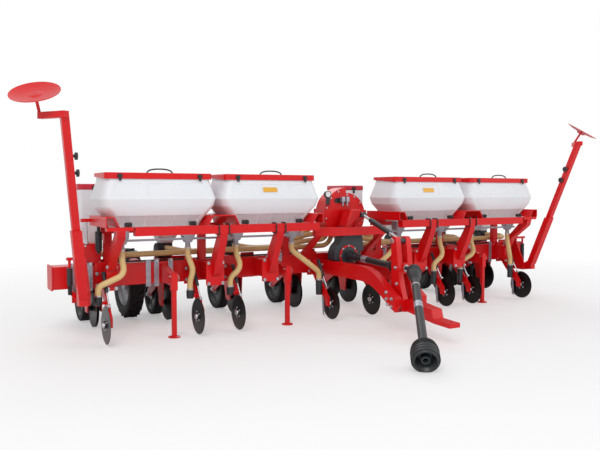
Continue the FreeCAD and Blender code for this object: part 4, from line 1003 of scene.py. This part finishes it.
def setValves():
    (middleX, y, z), blocks = guardPaint["valve"], []
    for x in (middleX - 0.028, middleX + 0.028):
        blocks.append(makeBlock("valve", (x, beamFace + y, z), (0.04, 0.05, 0.055), 0.004))
        blocks.append(makeRod("stub", (x, beamFace + y - 0.01, z - 0.045), 0.009, 0.05, 0.0015, sides=20))
    fixed("valve_block", blocks, "galvanisedSteel")


setFan()
setGauge()
paintGuard()
setValves()
print("fan fitted")

# fertiliser openers: a damper from the plate to the arm, and a scraper on each disc
opener = {
    "arms": (-2.511, -1.67, -1.263, -0.296, 0.296, 1.263, 1.67, 2.511),
    "discs": (-2.552, -1.711, -1.304, -0.255, 0.255, 1.304, 1.711, 2.552),
    "top": (-0.13, 0.602), "foot": (-0.3, 0.338), "split": 0.58, "damper": 0.016, "rod": 0.007,
    "lugs": ((-0.104, 0.596, 0.05), (-0.29, 0.316, 0.026)), "eyes": ((0.016, 0.026), (0.018, 0.03)),
    "scraperTop": (-0.205, 0.3), "scraperFoot": (-0.222, 0.06), "bolt": 0.004,
}


def makeDamper(first, last):
    size = opener
    split, way = first.lerp(last, size["split"]), last - first
    body = startPiece("damper", "cylinder", vertices=28, radius=size["damper"], depth=(split - first).length)
    pressed(body, lambda centre, normal: abs(normal.z) > 0.9, (0.004, 0.003), each=True)
    settled(softened(body, 0.001, 1), standing(first.lerp(split, 0.5), way))
    rod = makeRod("rod", origin, size["rod"], (last - split).length, 0.001, 1, 20)
    settled(rod, standing(split.lerp(last, 0.5), way))
    (lowRadius, lowDepth), (highRadius, highDepth) = size["eyes"]
    lowEye = makeRod("eye", last, lowRadius, lowDepth, 0.002, 1, turn=alongX)
    highEye = makeRod("eye", first, highRadius, highDepth, 0.002, 1, turn=alongX)
    return [body, highEye], [rod, lowEye]


def setOpeners():
    size = opener
    (highLine, high), (lowLine, low) = size["scraperTop"], size["scraperFoot"]
    length = math.hypot(high - low, highLine - lowLine)
    slope = math.degrees(math.atan2(lowLine - highLine, high - low))
    bodies, rods, lugs, scrapers, bolts = [], [], [], [], []
    for x, disc in zip(size["arms"], size["discs"]):
        toDisc = 1 if disc > x else -1
        armX, x = x, x + 0.007 * toDisc
        first, last = [Vector((x, beamFace + y, z)) for y, z in (size["top"], size["foot"])]
        body, rod = makeDamper(first, last)
        bodies += body
        rods += rod
        lugs += [makeBlock("lug", (armX, beamFace + y, z), (0.02, deep, 0.036), 0.003, 1)
                 for y, z, deep in size["lugs"]]
        blade = startPiece("scraper", "cube", size=(0.004, 0.03, length))
        pickFaces(blade, lambda centre, normal: normal.z < -0.9)
        bpy.ops.mesh.extrude_region_move(TRANSFORM_OT_translate={"value": (0, -0.012, -0.018)})
        middleOfBlade = (x + 0.0075 * toDisc, beamFace + (highLine + lowLine) / 2, (high + low) / 2)
        scrapers.append(settled(softened(blade, 0.0008, 1), turned(middleOfBlade, slope)))
        bolts += [standing((x + 0.0095 * toDisc, beamFace + highLine - 0.001 * k, high - 0.012 - 0.03 * k),
                           (toDisc, 0, 0)) for k in (0, 1)]
    fixed("damper_bodies", bodies, "darkPolypropylene")
    fixed("damper_rods", rods, "zincPlate")
    fixed("damper_lugs", lugs, "redEnamel")
    fixed("disc_scrapers", scrapers, "galvanisedSteel")
    bolted("scraper_bolts", bolts, size["bolt"])


setOpeners()
print("openers fitted")

# row units; the pieces of one unit are made about X = 0 and the beam's face, then copied to every row
unit = {
    "linkFace": 0.0597, "pivots": ((0.24, 0.502), (0.24, 0.616), (0.496, 0.476), (0.496, 0.59)),
    "springX": 0.03, "springTop": (0.25, 0.6), "springFoot": (0.48, 0.492), "coil": 0.017,
    "wire": 0.0032, "turns": 13, "hook": 0.03, "cover": (-0.092, 0.61, 0.722), "coverRadius": 0.077,
    "coverRibs": 8, "crankLine": 0.73, "crankLevel": 0.644, "linkBolt": 0.007, "axleFace": 0.0725,
    "axle": (0.965, 0.22), "axleBolt": 0.011, "latchAt": (0, 0.421, 1.366),
    "latch": ((0.044, 0.01, 0.038), (0.024, 0.008, 0.046), 0.001, 0.032),
}


# a tension spring from one hook to the other
def makeSpring():
    size, across = unit, Vector((1, 0, 0))
    first, last = Vector((0, *size["springTop"])), Vector((0, *size["springFoot"]))
    way = (last - first).normalized()
    up = way.cross(across).normalized()
    start, run = first + way * size["hook"], (last - first).length - 2 * size["hook"]
    points = [first, first + way * size["hook"] / 2]
    count = size["turns"] * 8
    for n in range(count + 1):
        turn = math.tau * n / 8
        spoke = across * math.cos(turn) + up * math.sin(turn)
        points.append(start + way * run * n / count + spoke * size["coil"])
    return bent("spring", points + [last - way * size["hook"] / 2, last], size["wire"], 8, 2)


def makeCover():
    x, y, z = unit["cover"]
    face = startPiece("coverFace", "cylinder", (x - 0.003, y, z), turn=alongX, vertices=48,
                      radius=unit["coverRadius"], depth=0.006)
    pressed(face, lambda centre, normal: normal.x < -0.9, (0.008, -0.002), (0.028, 0), (0.004, 0.007))
    softened(face, 0.0012)
    rib = makeBlock("rib", (0, 0, 0.046), (0.008, 0.004, 0.04), 0.001, 1)
    count = unit["coverRibs"]
    ribs = repeated("ribs", rib, [turned((x - 0.006, y, z), 360 * n / count) for n in range(count)])
    return joined("cover", [face, ribs])


def makeCrank():
    line, level = unit["crankLine"], unit["crankLevel"]
    rod = makeRod("crankRod", (0, line, level + 0.07), 0.009, 0.17, 0.001, 1, 20)
    path = ((0, 0.15), (0, 0.162), (0.012, 0.162), (0.075, 0.162))
    bar = bent("crankBar", [(x, line, level + z) for x, z in path], 0.006, 12)
    grip = makeRod("grip", (0.075, line, level + 0.185), 0.012, 0.06, 0.004, 3)
    for piece, finish in ((rod, "zincPlate"), (bar, "zincPlate"), (grip, "blackGuard")):
        coated(piece, finish)
    return joined("crank", [rod, bar, grip])


def setRowUnits():
    size = unit
    spots = [turned((x + side * size["springX"], beamFace, 0)) for x in rowPlaces for side in (-1, 1)]
    spread("unit_springs", makeSpring(), spots, "zincPlate")
    bolted("link_bolts", onFlanks(size["linkFace"], size["pivots"], 15, 0, rowPlaces), size["linkBolt"])
    spots = [turned((x, beamFace, 0)) for x in rowPlaces]
    spread("meter_covers", makeCover(), spots, "darkPolypropylene")
    spread("depth_cranks", makeCrank(), spots)
    latch = makeLatch(size["latchAt"], *size["latch"])
    spread("lid_latches", latch, spots, "blackEnamel")
    bolted("axle_bolts", onFlanks(size["axleFace"], (size["axle"],), 0, 0, rowPlaces), size["axleBolt"])


setRowUnits()
print("row units fitted")

jackPin = {
    "places": (-1.928, -0.75, 0.75, 1.928), "line": -0.288, "level": 0.56, "radius": 0.008,
    "length": 0.088, "ringAt": 0.042,
    "ring": ((0, 0), (-0.022, -0.008), (-0.02, -0.044), (0.012, -0.046), (0.016, -0.012), (0, 0)),
}


def setJackPins():
    size = jackPin
    line, level, pins = beamFace + size["line"], size["level"], []
    for x in size["places"]:
        ringX = x + size["ringAt"]
        pins.append(makeRod("jackPin", (x, line, level), size["radius"], size["length"], 0.0015,
                            sides=20, turn=alongX))
        pins.append(bent("jackRing", [(ringX, line + y, level + z) for y, z in size["ring"]], 0.0022, 8))
    fixed("jack_pins", pins, "zincPlate")


# star knobs on the marker arms; foot and rise are the arm's own, from its hinge to its disc
markerKnob = {
    "levels": (1.6, 1.47), "foot": (2.736, -0.306, 0.396), "rise": (0.226, -0.505, 1.534),
    "proud": 0.058, "radius": 0.03, "height": 0.02, "waist": 0.84,
}


def makeKnob():
    size, points = markerKnob, 48
    knob = startPiece("knob", "cylinder", vertices=points, radius=size["radius"], depth=size["height"])

    # two upright edges in every eight are drawn in, which leaves six lobes
    def inWaist(a, b):
        share = (math.atan2(a.y, a.x) + 0.01) % math.tau / math.tau
        return abs(a.z - b.z) > 0.01 and int(share * points) % 8 in (3, 4)
    pickEdges(knob, inWaist)
    bpy.ops.transform.resize(value=(size["waist"], size["waist"], 1), center_override=origin)
    softened(knob, 0.003)
    return joined("starKnob", [knob, makeRod("stem", (0, 0, -0.018), 0.013, 0.026, 0.002)])


def setKnobs():
    size = markerKnob
    footX, footLine, footLevel = size["foot"]
    out, ahead, rise = size["rise"]
    for side, label in ((-1, "left"), (1, "right")):
        spots = []
        for level in size["levels"]:
            share = (level - footLevel) / rise
            x = side * (footX + out * share - size["proud"])
            spots.append(standing((x, beamFace + footLine + ahead * share, level), (-side, 0, 0)))
        knobs = repeated("marker_knobs_" + label, makeKnob(), spots)
        fitted(knobs, bodyOfNode["marker_arm_" + label], "blackGuard")


adjuster = {"steps": (-0.3, 0.28), "line": -0.44, "level": 1.042, "size": (0.06, 0.04, 0.032)}
markerPipe = {
    "radius": 0.0075, "path": ((2.485, 0.03, 0.587), (2.485, 0.078, 0.677), (2.4, 0.078, 0.677),
                               (1.4, 0.078, 0.677), (0.52, 0.078, 0.677), (0.46, 0.05, 0.677)),
}


def setTrim():
    blocks, line, level = [], beamFace + adjuster["line"], adjuster["level"]
    for x in [place + step for place in hopper["places"] for step in adjuster["steps"]]:
        block = startPiece("adjuster", "cube", (x, line, level), adjuster["size"])
        pressed(block, onTop, (0.01, 0.006))
        blocks.append(softened(block, 0.003))
        wingAt = (x + 0.01, line - 0.022, level + 0.008)
        blocks.append(makeRod("wing", wingAt, 0.016, 0.012, 0.003, turn=alongY))
    fixed("outlet_adjusters", blocks, "blackGuard")
    paths = [[(side * x, beamFace + y, z) for x, y, z in markerPipe["path"]] for side in (-1, 1)]
    fixed("marker_pipes", [bent("pipe", path, markerPipe["radius"]) for path in paths], "blackGuard")


setJackPins()
setKnobs()
setTrim()
print("trim fitted")

gearBox = {
    "place": (-2.578, 0.095, 0.765), "size": (0.16, 0.13, 0.19), "rounding": 0.006,
    "front": (0.144, 0.01, 0.174), "boltInset": 0.018, "bolt": 0.005, "bracket": (-2.63, 0.035, 1.07),
    "bracketSize": (0.084, 0.05, 0.03), "rodOff": -0.045, "rodRadius": 0.008, "nutRadius": 0.019,
    "boot": (-2.545, -0.08), "bootLevels": (0.8, 0.975), "bootRadius": 0.031, "bootFolds": 9,
    "stem": 0.014,
}


# the drive box on the left end of the beam, with its upright shaft
def setGearBox():
    size = gearBox
    (x, y, z), (wide, deep, high) = size["place"], size["size"]
    bx, by, bz = size["bracket"]
    y, by = y + beamFace, by + beamFace
    face = y - deep / 2
    case = makeBlock("gearCase", (x, y, z), size["size"], size["rounding"])
    front = makeBlock("gearFront", (x, face - 0.004, z), size["front"], 0.003)
    bracket = makeBlock("bracket", (bx, by, bz), size["bracketSize"], 0.003)
    fixed("drive_gearbox", [case, front, bracket], "redEnamel")
    low, top, rodX = z + high / 2 - 0.002, bz - 0.01, x + size["rodOff"]
    rod = startPiece("rod", "cylinder", (rodX, by, (low + top) / 2), vertices=20, radius=size["rodRadius"],
                     depth=top - low)
    nut = makeRod("nut", (rodX, by, low + 0.012), size["nutRadius"], 0.024, 0.0015, sides=6)
    fixed("drive_upright", [rod, nut], "zincPlate")
    across, up = wide / 2 - size["boltInset"], high / 2 - size["boltInset"]
    corners = [(sx * across, sz * up) for sx in (-1, 1) for sz in (-1, 1)]
    spots = [standing((x + right, face - 0.009, z + over), (0, -1, 0)) for right, over in corners]
    bolted("gearbox_bolts", spots, size["bolt"])


# a ribbed rubber boot that hangs from the hopper stand beside the box
def setBoot():
    size = gearBox
    x, y = size["boot"][0], size["boot"][1] + beamFace
    bottom, top = size["bootLevels"]
    step = (top - bottom) / size["bootFolds"]
    folds = []
    for n in range(size["bootFolds"]):
        middleOfFold = (x, y, bottom + step * (n + 0.5))
        folds.append(makeRod("fold", middleOfFold, size["bootRadius"], step, step * 0.32, sides=32))
    stem = startPiece("stem", "cylinder", (x, y, (bottom + top) / 2 + 0.02), vertices=20, radius=size["stem"],
                      depth=top - bottom + 0.09)
    fixed("drive_boot", folds + [stem], "blackGuard")


setGearBox()
setBoot()
print("gear box fitted")
